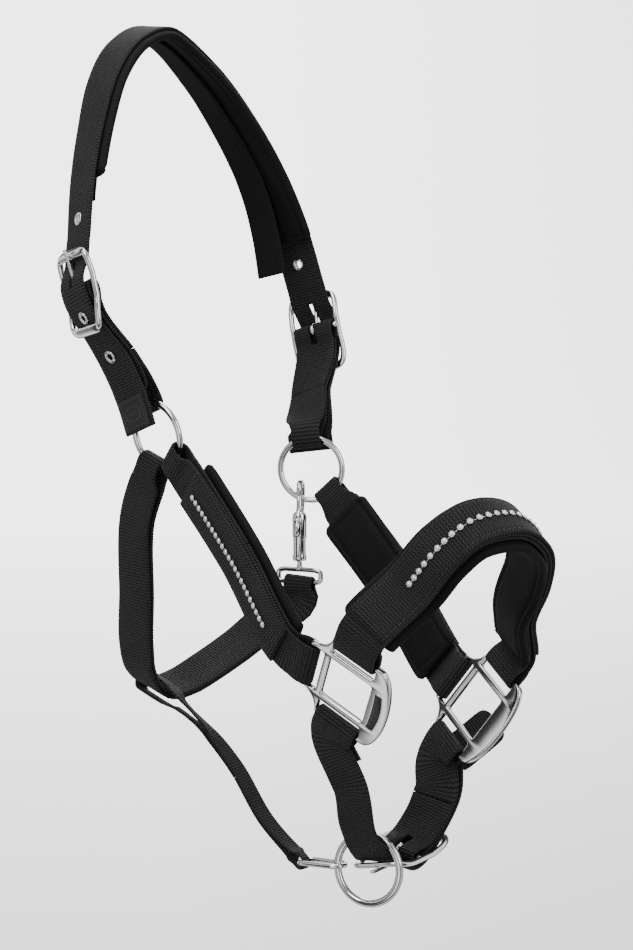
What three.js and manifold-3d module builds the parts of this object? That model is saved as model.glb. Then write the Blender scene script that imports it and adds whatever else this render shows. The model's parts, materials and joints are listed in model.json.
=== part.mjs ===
// A padded nylon headcollar for a horse, in millimetres, +Z up, -Y towards the nose, +X to the horse's left.
// The frame's zero is the middle of the crown pad's underside, where the headcollar rests on the poll.
// Each strap follows a spine: places along it are (s, n, w), with s the distance along the strap, n the height
// above its middle surface, away from the head, and w the distance across it.
import * as THREE from "three";
import { mergeVertices } from "three/addons/utils/BufferGeometryUtils.js";
import Module from "manifold-3d";

const wasm = await Module();
wasm.setup();

// Driving dimensions
const WEB = 30; // webbing width
const PLY = 2.2; // webbing thickness
const AIR = 0.3; // gap between neighbours
const STEP = 12; // spacing of the facets along a strap
const PAD = 6; // padding thickness
const PAD_WIDTH = 37; // padding width
const FOLD_WIDTH = 17; // webbing width where it gathers round a ring
const SLIP = 14.6; // the headcollar sits this far round the poll, right side up
const RING_RADIUS = 20.7; // cheek ring, wire centre
const RING_WIRE = 2.05; // cheek ring, wire radius
const FOLD_RADIUS = 5.7; // strap centre line round a ring's wire
const FOLD_REACH = 20.6; // ring centre to the middle of a strap's fold
const CHIN_RING_RADIUS = 21.4;
const CHIN_RING_WIRE = 2.4;
const BUCKLE_HALF = 22.5; // centre bar to end bar
const BUCKLE_SIDE = 18.2; // middle of the frame to a side rod
const ROD = 2; // buckle rod radius
const BAR_REACH = 29.5; // side square: centre to an outer bar
const SQUARE_THICK = 4;
const EYELET_HOLE = 3.05; // radius cut in the webbing for an eyelet
const LINING = 2.2; // crown lining thickness
const LINING_WIDTH = 19;
const POLL_Y = 143.5; // crown top above the nose-to-poll drawing zero
const POLL_Z = 276.6;

const BLACK = new THREE.Color(0.016, 0.016, 0.018);
const webbing = new THREE.MeshStandardMaterial({ color: BLACK, roughness: 0.85, metalness: 0 });
const padding = new THREE.MeshStandardMaterial({ color: 0x0b0b0c, roughness: 0.7, metalness: 0 });
const patchRubber = new THREE.MeshStandardMaterial({ color: 0x121213, roughness: 0.6, metalness: 0 });
const plated = new THREE.MeshStandardMaterial({ color: 0xd8d8d6, roughness: 0.12, metalness: 1 });
const crystal = new THREE.MeshStandardMaterial({ color: 0xe6ecf2, roughness: 0.05, metalness: 0.2 });

const headcollar = new THREE.Group();
headcollar.position.set(0, -POLL_Y, -POLL_Z);

// ---------- spines ----------

const vec = (x, y, z) => new THREE.Vector3(x, y, z);

class Spine {
  // stations: [place, outward direction] pairs
  constructor(stations) {
    const perSpan = 40;
    this.curve = new THREE.CatmullRomCurve3(stations.map(([place]) => place), false, "centripetal");
    this.curve.arcLengthDivisions = perSpan * (stations.length - 1);
    const lengths = this.curve.getLengths();
    this.length = lengths.at(-1);
    this.marks = stations.map((_, i) => lengths[i * perSpan]);
    this.outs = stations.map(([, out]) => out.clone().normalize());
  }

  frame(s) {
    const u = THREE.MathUtils.clamp(s / this.length, 0, 1);
    const along = this.curve.getTangentAt(u);
    const place = this.curve.getPointAt(u).addScaledVector(along, s - u * this.length);
    let i = 0;
    while (i < this.marks.length - 2 && s > this.marks[i + 1]) i += 1;
    const share = THREE.MathUtils.clamp((s - this.marks[i]) / (this.marks[i + 1] - this.marks[i]), 0, 1);
    const out = this.outs[i].clone().lerp(this.outs[i + 1], share);
    out.addScaledVector(along, -out.dot(along)).normalize();
    return { place, along, out, across: new THREE.Vector3().crossVectors(along, out) };
  }

  at(s, n = 0, w = 0) {
    const { place, out, across } = this.frame(s);
    return place.addScaledVector(out, n).addScaledVector(across, w);
  }
}

// ---------- mesh helpers ----------

function closedBody(vertices, faces) {
  const geometry = new THREE.BufferGeometry();
  const numbers = vertices.flatMap((v) => [v.x, v.y, v.z]);
  geometry.setAttribute("position", new THREE.Float32BufferAttribute(numbers, 3));
  let volume = 0;
  for (const [a, b, c] of faces) {
    volume += vertices[a].dot(new THREE.Vector3().crossVectors(vertices[b], vertices[c]));
  }
  geometry.setIndex(faces.flatMap(([a, b, c]) => (volume > 0 ? [a, b, c] : [a, c, b])));
  return geometry;
}

// Neighbouring layers split their twisted faces along the same diagonal, so a small gap stays open
const SPLIT = vec(0.36, 0.48, 0.8);

// Joins equal rings of points into a tube, with flat ends or closed on itself
function loft(rings, closed = false) {
  const points = rings.flat();
  const count = rings[0].length;
  const faces = [];
  const spans = closed ? rings.length : rings.length - 1;
  for (let i = 0; i < spans; i += 1) {
    const next = (i + 1) % rings.length;
    for (let k = 0; k < count; k += 1) {
      const a = i * count + k;
      const b = i * count + ((k + 1) % count);
      const c = next * count + ((k + 1) % count);
      const d = next * count + k;
      const slant = (from, to) => Math.abs(points[to].clone().sub(points[from]).dot(SPLIT));
      if (slant(a, c) > slant(b, d)) faces.push([a, b, c], [a, c, d]);
      else faces.push([a, b, d], [b, c, d]);
    }
  }
  if (!closed) {
    const last = (rings.length - 1) * count;
    for (let k = 1; k < count - 1; k += 1) {
      faces.push([0, k + 1, k], [last, last + k, last + k + 1]);
    }
  }
  return closedBody(points, faces);
}

function solid(geometry) {
  const bare = geometry.clone();
  bare.deleteAttribute("normal");
  bare.deleteAttribute("uv");
  const merged = mergeVertices(bare, 1e-4);
  return new wasm.Manifold(new wasm.Mesh({
    numProp: 3,
    vertProperties: new Float32Array(merged.attributes.position.array),
    triVerts: new Uint32Array(merged.index.array),
  }));
}

function fromSolid(body) {
  const mesh = body.getMesh();
  const geometry = new THREE.BufferGeometry();
  geometry.setAttribute("position", new THREE.BufferAttribute(mesh.vertProperties, 3));
  geometry.setIndex(new THREE.BufferAttribute(mesh.triVerts, 1));
  return geometry;
}

const join = (...shapes) => fromSolid(shapes.map(solid).reduce((whole, piece) => whole.add(piece)));

// Cuts the tools away and drops any crumb that comes loose
function cut(shape, ...tools) {
  const rest = tools.map(solid).reduce((body, tool) => body.subtract(tool), solid(shape));
  return fromSolid(rest.decompose().reduce((big, piece) => (piece.volume() > big.volume() ? piece : big)));
}

function add(name, geometry, material) {
  const mesh = new THREE.Mesh(geometry, material);
  mesh.name = name;
  headcollar.add(mesh);
  return mesh;
}

// A round rod through the points; closed makes a loop
function rod(points, radius, sides = 8, closed = false) {
  const count = points.length;
  let side = new THREE.Vector3();
  const rings = points.map((point, i) => {
    const before = points[closed ? (i + count - 1) % count : Math.max(i - 1, 0)];
    const after = points[closed ? (i + 1) % count : Math.min(i + 1, count - 1)];
    const along = after.clone().sub(before).normalize();
    if (i === 0) side = perpendicular(along);
    side.addScaledVector(along, -side.dot(along)).normalize();
    const other = new THREE.Vector3().crossVectors(along, side);
    return circlePoints(sides).map(([x, y]) => point.clone().addScaledVector(side, radius * x)
      .addScaledVector(other, radius * y));
  });
  return loft(rings, closed);
}

function perpendicular(along) {
  const helper = Math.abs(along.z) < 0.9 ? vec(0, 0, 1) : vec(1, 0, 0);
  return new THREE.Vector3().crossVectors(along, helper).normalize();
}

function circlePoints(sides) {
  return Array.from({ length: sides }, (_, i) => {
    const angle = (2 * Math.PI * (i + 0.5)) / sides;
    return [Math.cos(angle), Math.sin(angle)];
  });
}

// ---------- strap paths, as [s, n] points with an optional width ----------

// Stops at every whole step of s, so that neighbouring layers turn at the same places
function run(from, to, step = STEP) {
  const way = Math.sign(to[0] - from[0]);
  const places = [];
  for (let k = Math.ceil(Math.min(from[0], to[0]) / step); k * step < Math.max(from[0], to[0]); k += 1) {
    const s = k * step;
    if (Math.abs(s - from[0]) > 2 && Math.abs(s - to[0]) > 2) places.push(s);
  }
  if (way < 0) places.reverse();
  return [from[0], ...places, to[0]].map((s) => {
    const share = (s - from[0]) / (to[0] - from[0]);
    return from.map((value, k) => value + (to[k] - value) * share);
  });
}

// Half a turn round a bar at s, from the start side (+1 or -1 in n) to the other; way is +1 when the fold points to +s
function turn(s, radius, startSide, way, width, steps = 8) {
  return Array.from({ length: steps + 1 }, (_, i) => {
    const angle = (Math.PI * i) / steps;
    return [s + way * radius * Math.sin(angle), startSide * radius * Math.cos(angle), width];
  });
}

// A doubled strap with a loop at each end, its inner ply meeting itself at the join
function doubledPath({ start, end, join: middle }) {
  const ply = (PLY + AIR) / 2;
  const inner = (fold, way) => [
    [fold.s - way * fold.reach, -ply, WEB],
    [fold.s - way * (fold.straight ?? fold.reach * 0.45), -fold.radius, fold.width],
    ...turn(fold.s, fold.radius, -1, way, fold.width),
    [fold.s - way * (fold.straight ?? fold.reach * 0.45), fold.radius, fold.width],
    [fold.s - way * fold.reach, ply, WEB],
  ];
  const atEnd = inner(end, 1);
  const atStart = inner(start, -1).reverse();
  return [
    ...run([middle + AIR, -ply, WEB], atEnd[0]).slice(0, -1),
    ...atEnd,
    ...run(atEnd.at(-1), atStart[0]).slice(1, -1),
    ...atStart,
    ...run(atStart.at(-1), [middle - AIR, -ply, WEB]).slice(1),
  ];
}

function ribbon(spine, path, thickness = PLY) {
  const rings = path.map(([s, n, width = WEB], i) => {
    const before = path[Math.max(i - 1, 0)];
    const after = path[Math.min(i + 1, path.length - 1)];
    const ds = after[0] - before[0];
    const dn = after[1] - before[1];
    const size = Math.hypot(ds, dn);
    const [us, un] = [(-dn / size) * (thickness / 2), (ds / size) * (thickness / 2)];
    const half = width / 2;
    return [
      spine.at(s + us, n + un, half), spine.at(s + us, n + un, -half),
      spine.at(s - us, n - un, -half), spine.at(s - us, n - un, half),
    ];
  });
  return loft(rings);
}

// A block in a spine's own (s, n, w) places, for cutting slots
function block(spine, [s0, s1], [n0, n1], [w0, w1]) {
  const rings = [s0, s1].map((s) => [
    spine.at(s, n1, w1), spine.at(s, n1, w0), spine.at(s, n0, w0), spine.at(s, n0, w1),
  ]);
  return loft(rings);
}

// The two path points on either side of s, and how far s is between them
function facetAt(path, s) {
  const i = path.findIndex((point, k) => k > 0 && (point[0] - s) * (path[k - 1][0] - s) <= 0);
  const [a, b] = [path[i - 1], path[i]];
  return { a, b, share: (s - a[0]) / (b[0] - a[0]) };
}

// A frame on the strap's flat facet at s: across, along and out
function strapFrame(spine, path, s) {
  const { a, b, share } = facetAt(path, s);
  const [from, to] = [a, b].map(([place, n]) => spine.at(place, n));
  const across = spine.frame(a[0]).across.lerp(spine.frame(b[0]).across, share).normalize();
  const forward = to.clone().sub(from).multiplyScalar(Math.sign(b[0] - a[0]));
  forward.addScaledVector(across, -forward.dot(across)).normalize();
  const lift = new THREE.Vector3().crossVectors(across, forward);
  return new THREE.Matrix4().makeBasis(across, forward, lift).setPosition(from.lerp(to, share));
}

function eyelet() {
  const face = PLY / 2 + 0.55;
  const outline = [
    [2.1, -face - 0.4], [3.8, -face - 0.4], [3.8, -face], [2.7, -face],
    [2.7, face], [3.8, face], [3.8, face + 0.4], [2.1, face + 0.7], [2.1, -face - 0.4],
  ];
  const lathe = new THREE.LatheGeometry(outline.map(([r, h]) => new THREE.Vector2(r, h)), 10);
  return lathe.rotateX(Math.PI / 2);
}

function eyeletHole() {
  return new THREE.CylinderGeometry(EYELET_HOLE, EYELET_HOLE, 5 * PLY, 12).rotateX(Math.PI / 2);
}

// ---------- buckles ----------

// Height of the frame's rods above the centre bar, at v along the frame
function rodHeight(v) {
  const rise = v > 0 ? 5 : 9;
  return rise * Math.abs(v / BUCKLE_HALF) ** 1.4;
}

// A rounded rectangle's outline, from the superellipse, with side rods dipping to the centre bar
function buckleFrame(spine, s) {
  const squareness = 2 / 7;
  const shaped = (value) => Math.sign(value) * Math.abs(value) ** squareness;
  const points = Array.from({ length: 32 }, (_, i) => {
    const angle = (2 * Math.PI * (i + 0.5)) / 32;
    const v = BUCKLE_HALF * shaped(Math.cos(angle));
    return spine.at(s + v, rodHeight(v), BUCKLE_SIDE * shaped(Math.sin(angle)));
  });
  const bar = rod([spine.at(s, 0, -BUCKLE_SIDE), spine.at(s, 0, BUCKLE_SIDE)], ROD, 10);
  return join(rod(points, ROD, 8, true), bar);
}

// The tongue's eye goes round the centre bar; its shaft runs out through the strap and rests on the end bar
function buckleTongue(spine, s) {
  const eye = ROD + AIR + 1.3;
  const points = [];
  for (let degrees = 15; degrees >= -270; degrees -= 28.5) {
    const angle = THREE.MathUtils.degToRad(degrees);
    points.push(spine.at(s + eye * Math.cos(angle), eye * Math.sin(angle)));
  }
  const rest = rodHeight(BUCKLE_HALF) + ROD + 6 * AIR + 1.3;
  for (const [v, n] of [[5, 3.9], [10, 5], [15, 6.3], [20, 7.3], [BUCKLE_HALF + 2.5, rest]]) {
    points.push(spine.at(s + v, n));
  }
  return rod(points, 1.3, 8);
}

// ---------- crown, billets and crown buckles ----------

const slipped = (side, x, y, z) => vec(side * x, y, z - side * SLIP * Math.min(1, x / 60));

const BUCKLE_PLACE = [102, 103.5, 100.3];
const RING_PLACE = [68, 73, 10];
const LEG = [
  [[83, 90.5, 59], [0.95, 0, -0.25]],
  [[98.5, 98.5, 85], [0.96, 0.22, -0.05]],
  [BUCKLE_PLACE, [0.97, 0.24, 0.1]],
  [[101.5, 108, 117], [0.96, 0.24, 0.15]],
  [[97, 112, 141], [0.95, 0.24, 0.2]],
  [[90, 117, 170], [0.92, 0.22, 0.3]],
  [[78, 123, 203], [0.86, 0.18, 0.45]],
  [[61, 130, 236], [0.75, 0.1, 0.65]],
  [[35, 138, 266], [0.5, 0, 0.85]],
];
const ringNormal = { right: vec(-0.985, 0, -0.17).normalize(), left: vec(0.82, 0.57, 0).normalize() };
const ringCentre = { right: slipped(-1, ...RING_PLACE), left: slipped(1, ...RING_PLACE) };

// Where a strap heading for a place leaves its ring, at a reach from the ring's centre, in the ring's plane
function fromRing(side, towards, reach) {
  const direction = towards.clone().sub(ringCentre[side]);
  const normal = ringNormal[side];
  direction.addScaledVector(normal, -direction.dot(normal)).normalize();
  return ringCentre[side].clone().addScaledVector(direction, reach);
}

function legStations(sign) {
  const side = sign > 0 ? "left" : "right";
  const leg = LEG.map(([place, out]) => [slipped(sign, ...place), vec(sign * out[0], out[1], out[2])]);
  return [
    [ringCentre[side], ringNormal[side]],
    [fromRing(side, leg[0][0], FOLD_REACH + 6), ringNormal[side]],
    ...leg,
  ];
}
const crown = new Spine([
  ...legStations(-1),
  [vec(0, POLL_Y, 284), vec(0, -0.1, 1)],
  ...legStations(1).reverse(),
]);

const buckleS = { right: crown.marks[4], left: crown.marks.at(-5) };
// Distance up a leg from the buckle's centre bar, as a place on the crown spine
const onLeg = (side, h) => (side === "right" ? buckleS.right + h : buckleS.left - h);

// Path heights of the crown strap up each leg, from its tip: [distance above the centre bar, n]
const CROWN_LEG = [
  [-97, 11], [-86, 10.4], [-74, 9.4], [-62, 7.4], [-50, 5.6], [-38, 4.9], [-28, 4.6], [-21, 4.8],
  [-10.5, 5.9],
  [-6, 6.5], [0, 6.7], [5, 6.5], [9, 5.1], [13, 3.1], [17, 1.4], [22.5, 0.6], [29, 0.6], [38, 0],
];
const CROWN_EYELETS = [46, -15.5, -44];
const crownLegPath = (side) => CROWN_LEG.map(([h, n]) => [onLeg(side, h), n]);
const crownPath = [
  ...crownLegPath("right"),
  ...run([onLeg("right", 52), 0], [onLeg("left", 52), 0]),
  ...crownLegPath("left").reverse(),
];

function makeCrown() {
  const cuts = [];
  for (const side of ["right", "left"]) {
    const slot = [onLeg(side, 2.5), onLeg(side, 18)].sort((a, b) => a - b);
    cuts.push(block(crown, slot, [-4, 14], [-1.9, 1.9]));
    CROWN_EYELETS.forEach((h, i) => {
      const frame = strapFrame(crown, crownPath, onLeg(side, h));
      cuts.push(eyeletHole().applyMatrix4(frame));
      add(`${side}_crown_eyelet_${i + 1}`, eyelet().applyMatrix4(frame), plated);
    });
  }
  add("crown_strap", cut(ribbon(crown, crownPath), ...cuts), webbing);
  const padN = -(PLY / 2 + AIR + PAD / 2);
  const [from, to] = [onLeg("right", 72), onLeg("left", 60)];
  const path = run([from + 4, padN, PAD_WIDTH], [to - 4, padN, PAD_WIDTH]);
  const ends = [from, to].map((s) => [s, padN, PAD_WIDTH - 8]);
  add("crown_pad", ribbon(crown, [ends[0], ...path, ends[1]], PAD), padding);
}

// A loose lining strip behind the rear half of the pad, hanging below it on the left
function makeLining() {
  const under = -(PLY / 2 + AIR + PAD + AIR + LINING / 2);
  const offset = -(PAD_WIDTH - LINING_WIDTH) / 2;
  const [drops, fall] = [4, 1.6]; // the last steps on the left each hang lower by this much
  const stations = [onLeg("right", 76), onLeg("left", 44)];
  const rings = run([stations[0], under], [stations[1], under - 1]).map(([s, height], i, all) => {
    const drop = Math.max(0, i - all.length + drops) * fall;
    const [high, low] = [height - drop + LINING / 2, height - drop - LINING / 2];
    const [front, back] = [offset + LINING_WIDTH / 2, offset - LINING_WIDTH / 2];
    const corners = [[high, front], [high, back], [low, back], [low, front]];
    return corners.map(([n, w]) => crown.at(s, n, w));
  });
  add("crown_lining", loft(rings), padding);
}

function makeBillet(side) {
  const way = side === "right" ? 1 : -1;
  const ringS = side === "right" ? 0 : crown.length;
  const span = Math.abs(buckleS[side] - ringS);
  const path = doubledPath({
    start: { s: FOLD_REACH, radius: FOLD_RADIUS, width: FOLD_WIDTH, reach: 15 },
    end: { s: span, radius: ROD + AIR + PLY / 2, width: WEB, reach: 11 },
    join: span * 0.55,
  }).map(([h, n, width]) => [ringS + way * h, n, width]);
  const slot = [buckleS[side] - way * 11, buckleS[side] + way * 5].sort((a, b) => a - b);
  add(`${side}_billet`, cut(ribbon(crown, path), block(crown, slot, [-6, 6], [-2.6, 2.6])), webbing);
}

function makePatch(side) {
  const way = side === "right" ? 1 : -1;
  const lift = PLY / 2 + AIR + 0.2 + 0.7;
  const path = [-96.5, -86, -74.5].map((h) => {
    const { a, b, share } = facetAt(CROWN_LEG, h);
    return [buckleS[side] + way * h, a[1] + (b[1] - a[1]) * share + lift, 25];
  });
  add(`${side}_strap_patch`, ribbon(crown, path, 1.4), patchRubber);
}

// Turns a piece made for the right leg's direction of travel: the buckles point up both legs
function legSpine(side) {
  if (side === "right") return { spine: crown, s: buckleS.right };
  const reversed = new Spine([...legStations(1)]);
  return { spine: reversed, s: reversed.marks[4] };
}

function makeCrownBuckle(side) {
  const { spine, s } = legSpine(side);
  add(`${side}_crown_buckle`, buckleFrame(spine, s), plated);
  add(`${side}_crown_tongue`, buckleTongue(spine, s), plated);
}

// ---------- rings ----------

function ring(name, centre, normal, radius, wire) {
  const geometry = new THREE.TorusGeometry(radius, wire, 8, 32);
  const mesh = add(name, geometry, plated);
  mesh.position.copy(centre);
  mesh.quaternion.setFromUnitVectors(vec(0, 0, 1), normal.clone().normalize());
  return mesh;
}

const chinRingCentre = vec(-17, -62, -237);
const chinRingNormal = vec(-0.962, -0.267, 0.05).normalize();

// ---------- side squares ----------

// The square's own axes: a from the cheek bar to the plate, b from the nose bar to the chin bar, out to the side
function squareFrame(side) {
  const sign = side === "right" ? -1 : 1;
  const out = vec(sign * 0.935, -0.056, -0.35).normalize();
  const a = vec(-sign * 0.232, -0.842, -0.485);
  a.addScaledVector(out, -a.dot(out)).normalize();
  const b = new THREE.Vector3().crossVectors(out, a).multiplyScalar(sign === 1 ? 1 : -1);
  const centre = vec(sign * 57.4, -83, -130.5 - sign * 11.8);
  const at = (x, y, z = 0) =>
    centre.clone().addScaledVector(a, x).addScaledVector(b, y).addScaledVector(out, z);
  return { a, b, out, centre, at };
}

const squares = { right: squareFrame("right"), left: squareFrame("left") };

function slotHole(x0, y0, x1, y1, r = 1.2) {
  const path = new THREE.Path();
  path.moveTo(x0 + r, y0).lineTo(x1 - r, y0).quadraticCurveTo(x1, y0, x1, y0 + r);
  path.lineTo(x1, y1 - r).quadraticCurveTo(x1, y1, x1 - r, y1);
  path.lineTo(x0 + r, y1).quadraticCurveTo(x0, y1, x0, y1 - r);
  path.lineTo(x0, y0 + r).quadraticCurveTo(x0, y0, x0 + r, y0);
  return path;
}

function makeSquare(side) {
  const outer = BAR_REACH + 2;
  const inner = BAR_REACH - 2;
  const shape = new THREE.Shape();
  shape.moveTo(-outer, -17.5).quadraticCurveTo(-20, -20, -17.5, -outer);
  shape.lineTo(17, -outer);
  shape.bezierCurveTo(27, -27, 30.5, -18, 31, 0);
  shape.bezierCurveTo(30.5, 18, 27, 27, 17, outer);
  shape.lineTo(-17.5, outer).quadraticCurveTo(-20, 20, -outer, 17.5).lineTo(-outer, -17.5);
  shape.holes.push(slotHole(-16, -15.5, 16, 15.5), slotHole(-15.8, -inner, 15.8, -19.5),
    slotHole(-15.8, 19.5, 15.8, inner), slotHole(-inner, -15.8, -20, 15.8));
  const bevel = 0.7;
  const geometry = new THREE.ExtrudeGeometry(shape, {
    depth: SQUARE_THICK - 2 * bevel, bevelThickness: bevel, bevelSize: bevel, bevelOffset: -bevel,
    bevelSegments: 1, curveSegments: 5,
  });
  geometry.translate(0, 0, -SQUARE_THICK / 2 + bevel);
  const { a, b, out, centre } = squares[side];
  const mirrored = new THREE.Vector3().crossVectors(a, b).dot(out) < 0;
  const basis = new THREE.Matrix4().makeBasis(a, mirrored ? b.clone().negate() : b, out).setPosition(centre);
  add(`${side}_side_square`, geometry.applyMatrix4(basis), plated);
}

// ---------- cheeks ----------

const LOOP_RADIUS = 2.9 + PLY / 2; // strap centre line round a square's bar

function cheekSpine(side) {
  const sign = side === "right" ? -1 : 1;
  const square = squares[side];
  const bar = square.at(-BAR_REACH, 0);
  const start = fromRing(side, bar, FOLD_REACH);
  const middle = start.clone().lerp(bar, 0.5).add(vec(sign * 4, -1, 1));
  const lead = square.at(-BAR_REACH - 18, 0, 1);
  const out = vec(sign * 0.95, -0.02, -0.3);
  return new Spine([[start, ringNormal[side]], [middle, out], [lead, square.out], [bar, square.out]]);
}

function makeCheek(side) {
  const spine = cheekSpine(side);
  const end = spine.length;
  const path = doubledPath({
    start: { s: 0, radius: FOLD_RADIUS, width: FOLD_WIDTH, reach: 16 },
    end: { s: end, radius: LOOP_RADIUS, width: WEB, reach: 13 },
    join: end * 0.5,
  });
  add(`${side}_cheek_strap`, ribbon(spine, path), webbing);
  const overlayN = PLY + AIR * 1.5 + PLY / 2;
  add(`${side}_cheek_overlay`, ribbon(spine, run([24, overlayN], [end - 20, overlayN])), webbing);
  const padN = -(PLY + AIR * 1.5 + PAD / 2) - 0.4;
  const padPath = run([26, padN, PAD_WIDTH], [end - 20, padN, PAD_WIDTH]);
  const padEnds = [20, end - 14].map((s) => [s, padN, PAD_WIDTH - 10]);
  add(`${side}_cheek_pad`, ribbon(spine, [padEnds[0], ...padPath, padEnds[1]], PAD), padding);
  const chainN = overlayN + PLY / 2 + AIR + 0.9;
  add(`${side}_cheek_chain`, ribbon(spine, run([32, chainN, 3.4], [end - 36, chainN, 3.4]), 1.8), crystal);
}

// ---------- noseband ----------

// The left side's first bend stands out and back by this much, so that the band leaves its square smoothly
const LEFT_EASE = 8;

function noseSpine() {
  const leg = (side) => {
    const sign = side === "right" ? -1 : 1;
    const square = squares[side];
    const shift = (x, y, z) => vec(sign * x, y, z - sign * 12 * Math.min(1, x / 50));
    const ease = (share) => vec(0.704, 0.704, -0.087).multiplyScalar(side === "left" ? LEFT_EASE * share : 0);
    return [
      [square.at(0, -BAR_REACH), square.out],
      [square.at(0, -BAR_REACH - 16, 0.5), square.out],
      [shift(49, -126, -66).add(ease(1)), vec(sign, -0.15, -0.2)],
      [shift(42, -142, -43).add(ease(0.5)), vec(sign, -0.3, 0.15)],
      [shift(28, -154, -25), vec(sign * 0.75, -0.4, 0.5)],
    ];
  };
  const crest = [vec(0, -160, -17), vec(0, -0.57, 0.82)];
  return new Spine([...leg("right"), crest, ...leg("left").reverse()]);
}

const NOSE_CHAIN_HALF = 84;

function makeNoseband() {
  const spine = noseSpine();
  const end = spine.length;
  const fold = { radius: LOOP_RADIUS, width: WEB, reach: 13 };
  const path = doubledPath({ start: { s: 0, ...fold }, end: { s: end, ...fold }, join: end * 0.5 });
  add("nose_strap", ribbon(spine, path), webbing);
  const overlayN = PLY + AIR * 1.5 + PLY / 2;
  add("nose_overlay", ribbon(spine, run([22, overlayN], [end - 22, overlayN])), webbing);
  const padN = -(PLY + AIR * 1.5 + PAD / 2) - 0.6;
  const wide = PAD_WIDTH + 3;
  const padPath = run([24, padN, wide], [end - 24, padN, wide]);
  const padEnds = [17, end - 17].map((s) => [s, padN, wide - 12]);
  add("nose_pad", ribbon(spine, [padEnds[0], ...padPath, padEnds[1]], PAD), padding);
  const chainN = overlayN + PLY / 2 + AIR + 0.9;
  const [chainStart, chainEnd] = [end / 2 - NOSE_CHAIN_HALF, end / 2 + NOSE_CHAIN_HALF];
  add("nose_chain", ribbon(spine, run([chainStart, chainN, 3.4], [chainEnd, chainN, 3.4]), 1.8), crystal);
}

// ---------- chin ----------

const CHIN_BUCKLE = vec(12, -62, -230);
function chinSpine() {
  return new Spine([
    [squares.right.at(0, BAR_REACH), squares.right.out],
    [squares.right.at(0, BAR_REACH + 14, 0.5), squares.right.out],
    [vec(-39, -69, -184), vec(-1, -0.1, -0.1)],
    [vec(-29, -65, -211), vec(-0.85, -0.2, -0.5)],
    [vec(-12, -62, -230), vec(-0.45, -0.25, -0.85)],
    [CHIN_BUCKLE, vec(0.1, 0.2, -1)],
    [vec(30, -63, -216), vec(0.55, 0.2, -0.85)],
    [vec(40, -66, -195), vec(0.95, 0.2, -0.3)],
    [squares.left.at(0, BAR_REACH + 14, 0.5), squares.left.out],
    [squares.left.at(0, BAR_REACH), squares.left.out],
  ]);
}

const CHIN_EYELETS = [-15.5, -43];
const GATHERED = 25; // chin strap width inside the chin ring

function makeChin() {
  // The chin buckle's end bars lie along the strap, with the centre bar's top side towards the right square
  const forward = chinSpine();
  const total = forward.length;
  const barS = forward.marks[5];
  const buckle = { s: total - barS };
  const flipped = new Spine(forward.curve.points.map((point, i) => [point, forward.outs[i]]).reverse());
  const at = (h) => buckle.s + h;
  add("chin_buckle", buckleFrame(flipped, buckle.s), plated);
  add("chin_tongue", buckleTongue(flipped, buckle.s), plated);
  const strapPath = [
    [at(-104), 25, 18], [at(-100), 23.5, 29], [at(-88), 19], [at(-73), 13], [at(-60), 9], [at(-49), 6.4],
    [at(-37), 5], [at(-28), 4.6], [at(-21), 4.8], [at(-10.5), 5.9], [at(-6), 6.8], [at(0), 7.1], [at(5), 6.8],
    [at(9), 5.1], [at(13), 3.1], [at(17), 1.4],
    [at(22.5), 0.6], [at(26), 0.5, 27], [at(30), 0.3, GATHERED],
  ].map(([s, n, width = WEB]) => [s, n, width]);
  const loopEnd = total;
  const topLoop = [
    ...run([at(50), 0, GATHERED], [loopEnd - 13, (PLY + AIR) / 2, WEB], 8),
    [loopEnd - 6, LOOP_RADIUS, WEB],
    ...turn(loopEnd, LOOP_RADIUS, 1, 1, WEB),
    [loopEnd - 6, -LOOP_RADIUS, WEB],
    [loopEnd - 13, -(PLY + AIR) / 2 - 0.3, WEB],
    [loopEnd - 32, -(PLY + AIR) / 2 - 1, WEB],
  ];
  const path = [...strapPath, ...topLoop];
  const cuts = [block(flipped, [at(2.5), at(20)], [-4, 14], [-3.1, 3.1])];
  CHIN_EYELETS.forEach((h, i) => {
    const frame = strapFrame(flipped, path, at(h));
    cuts.push(eyeletHole().applyMatrix4(frame));
    add(`chin_eyelet_${i + 1}`, eyelet().applyMatrix4(frame), plated);
  });
  add("chin_strap", cut(ribbon(flipped, path), ...cuts), webbing);
  const billet = doubledPath({
    start: { s: 0, radius: LOOP_RADIUS, width: WEB, reach: 13 },
    end: { s: buckle.s, radius: ROD + 2 * AIR + PLY / 2, width: WEB - 3, reach: 11 },
    join: buckle.s * 0.5,
  });
  const billetSlot = block(flipped, [at(-11), at(5)], [-6, 6], [-2.6, 2.6]);
  add("chin_billet", cut(ribbon(flipped, billet), billetSlot), webbing);
}

// ---------- throat strap ----------

const SNAP_DROP = 56; // ring wire to the snap eye's lower bar
const SNAP_AXIS = 3.6; // snap barrel and swivel, forward of the ring's wire
const snapSeat = ringCentre.left.clone().add(vec(-4.1, 5.9, -19.4));
const snapForward = vec(-0.821, -0.571, 0);
const snapEyeBar = snapSeat.clone().addScaledVector(snapForward, SNAP_AXIS).add(vec(0, 0, -SNAP_DROP));

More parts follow.
